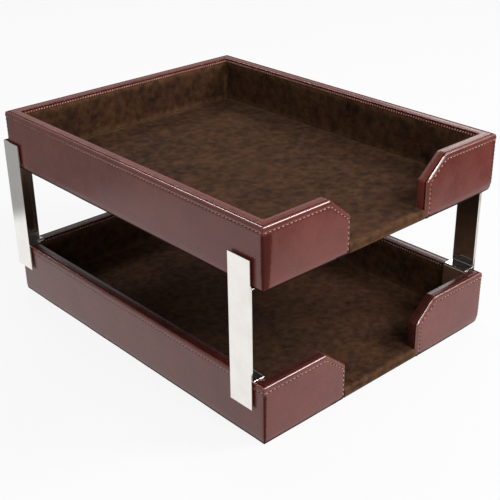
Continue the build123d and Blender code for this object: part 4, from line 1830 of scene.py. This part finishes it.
@dataclass(frozen=True)
class Studio:
    """A white floor and surround, soft lamps and the camera."""

    floor_half: float = 6.0
    floor_drop: float = 0.0001
    floor_colour: Colour = (0.62, 0.62, 0.62)
    floor_roughness: float = 0.9
    floor_white: float = 0.88
    # A pool of light painted on the floor, seen only in reflections
    light_pool_middle: Triple = (-0.03, -0.04, 0.0)
    light_pool_half: Triple = (0.62, 0.375, 1.0)
    light_pool_edge: Pair = (0.96, 1.10)
    camera_side: Triple = (-0.66, -0.75, 0.0)
    camera_edge: Pair = (0.38, 0.46)
    beyond_front: float = 0.10
    beyond_rear: float = 0.40
    beyond_blend: float = 0.2
    sky: float = 0.35
    reflected_sky: float = 0.5
    reflected_zenith: float = 0.10
    zenith_edge: Pair = (0.35, 0.65)
    lamps: tuple[SoftLamp, ...] = (
        SoftLamp("key_right", (0.96, -0.87, 1.19), 0.62, 20.0),
        SoftLamp("over_camera", (-0.10, -1.46, 1.27), 0.60, 16.0),
        SoftLamp("rear_high", (0.30, 1.20, 1.50), 0.45, 8.0),
        SoftLamp("rear_right", (1.45, 0.75, 0.80), 0.50, 2.0),
        SoftLamp("left", (-1.35, -0.10, 0.65), 0.80, 3.5),
    )

    def seen_by(self, bench: NodeBench, *names: str) -> bpy.types.NodeSocket:
        """1 for rays of the named kinds."""
        path = bench.add("ShaderNodeLightPath")
        total = path.outputs[names[0]]
        for name in names[1:]:
            total = bench.math("MAXIMUM", total, path.outputs[name])
        return total

    def light_pool(self, bench: MaterialBench) -> bpy.types.NodeSocket:
        """How white the floor glows: white where it is seen, and in reflections a painted pool of light,
        bright round the trays and dimmer farther out, most of all towards the front and the camera's side.
        """
        def working(operation: str, first: bpy.types.NodeSocket, second: Triple) -> bpy.types.Node:
            """A working of two vectors."""
            return bench.add("ShaderNodeVectorMath", {0: first, 1: second}, operation=operation)

        soft = {"interpolation_type": "SMOOTHSTEP"}
        centred = working("SUBTRACT", bench.place, self.light_pool_middle).outputs[0]
        scaled = working("DIVIDE", centred, self.light_pool_half).outputs[0]
        distance = bench.add("ShaderNodeVectorMath", {0: scaled}, operation="LENGTH").outputs["Value"]
        split = bench.add("ShaderNodeSeparateXYZ", {0: bench.place})
        beyond = bench.ranged(split.outputs["Y"], -self.beyond_blend, self.beyond_blend,
                              self.beyond_front, self.beyond_rear)
        light = bench.ranged(distance, *self.light_pool_edge, 1.0, beyond, **soft)
        along = working("DOT_PRODUCT", bench.place, self.camera_side).outputs["Value"]
        cut = bench.ranged(along, *self.camera_edge, 1.0, self.beyond_front, **soft)
        return bench.math("MAXIMUM", bench.math("MINIMUM", light, cut), self.seen_by(bench, "Is Camera Ray"))

    def build_floor(self) -> None:
        """Lay the floor, which is white where it is seen and keeps the object's shadow."""
        half = self.floor_half
        corners = [(-half, -half, 0), (half, -half, 0), (half, half, 0), (-half, half, 0)]
        mesh = bpy.data.meshes.new("floor")
        mesh.from_pydata(corners, [], [(0, 1, 2, 3)])
        floor = bpy.data.objects.new("floor", mesh)
        floor.location.z = -self.floor_drop
        bench = MaterialBench("studio_floor")
        mesh.materials.append(bench.finish(
            Base_Color=(*self.floor_colour, 1.0), Roughness=self.floor_roughness, Specular_IOR_Level=0.0))
        glow = bench.add("ShaderNodeEmission", {"Strength": self.light_pool(bench)})
        reflected = self.seen_by(bench, "Is Glossy Ray", "Is Transmission Ray")
        share = bench.add("ShaderNodeMath", {0: self.seen_by(bench, "Is Camera Ray"), 1: self.floor_white,
                                             2: reflected}, operation="MULTIPLY_ADD")
        mix = bench.add("ShaderNodeMixShader", {0: share.outputs[0], 1: bench.shader.outputs[0],
                                                2: glow.outputs[0]})
        bench.feed(bench.tree.nodes["Material Output"], {"Surface": mix.outputs[0]})
        bpy.context.scene.collection.objects.link(floor)

    def build_sky(self) -> None:
        """Surround the scene with white, dimmer as a light than as a background."""
        world = bpy.data.worlds.new("surround")
        world.use_nodes = True
        bench = NodeBench(world.node_tree)
        way = bench.add("ShaderNodeTexCoord").outputs["Object"]
        height = bench.add("ShaderNodeSeparateXYZ", {0: way}).outputs["Z"]
        dome = bench.ranged(height, *self.zenith_edge, self.reflected_sky, self.reflected_zenith)
        mirrored = self.seen_by(bench, "Is Glossy Ray", "Is Transmission Ray")
        reflected = bench.ranged(mirrored, 0.0, 1.0, self.sky, dome)
        seen = bench.ranged(self.seen_by(bench, "Is Camera Ray"), 0.0, 1.0, reflected, 1.0)
        bench.feed(bench.tree.nodes["Background"], {"Color": (1.0, 1.0, 1.0, 1.0), "Strength": seen})
        bpy.context.scene.world = world

    def build(self) -> None:
        """Set up the studio."""
        bpy.context.scene.view_settings.view_transform = "Standard"
        self.build_floor()
        self.build_sky()
        for lamp in self.lamps:
            lamp.build()
        PhotoCamera().build()


def main() -> None:
    """Build the trays, the posts and the studio."""
    logging.basicConfig(level=logging.INFO, format="%(name)s: %(message)s")
    finishes = Finishes()
    seam = Seam()
    stitches = StitchWork(finishes.thread, finishes.hole_shade, seam)
    # The lower tray's binding uses the copy of the leather with painted shade; each tray has its own width of
    # the dark reflection painted near its corners
    trays = (Tray("lower", finishes, stitches, seam, dark_reflection_width=0.0042, trim=finishes.shaded_trim),
             Tray("upper", finishes, stitches, seam, dark_reflection_width=0.0135, trim=finishes.leather))
    for tray in trays:
        tray.build()
        for piece in tray.pieces:
            LOG.info("built %s with %d faces", piece.name, len(piece.data.polygons))
    Posts(finishes).build()
    Studio().build()


if __name__ == "__main__":
    main()
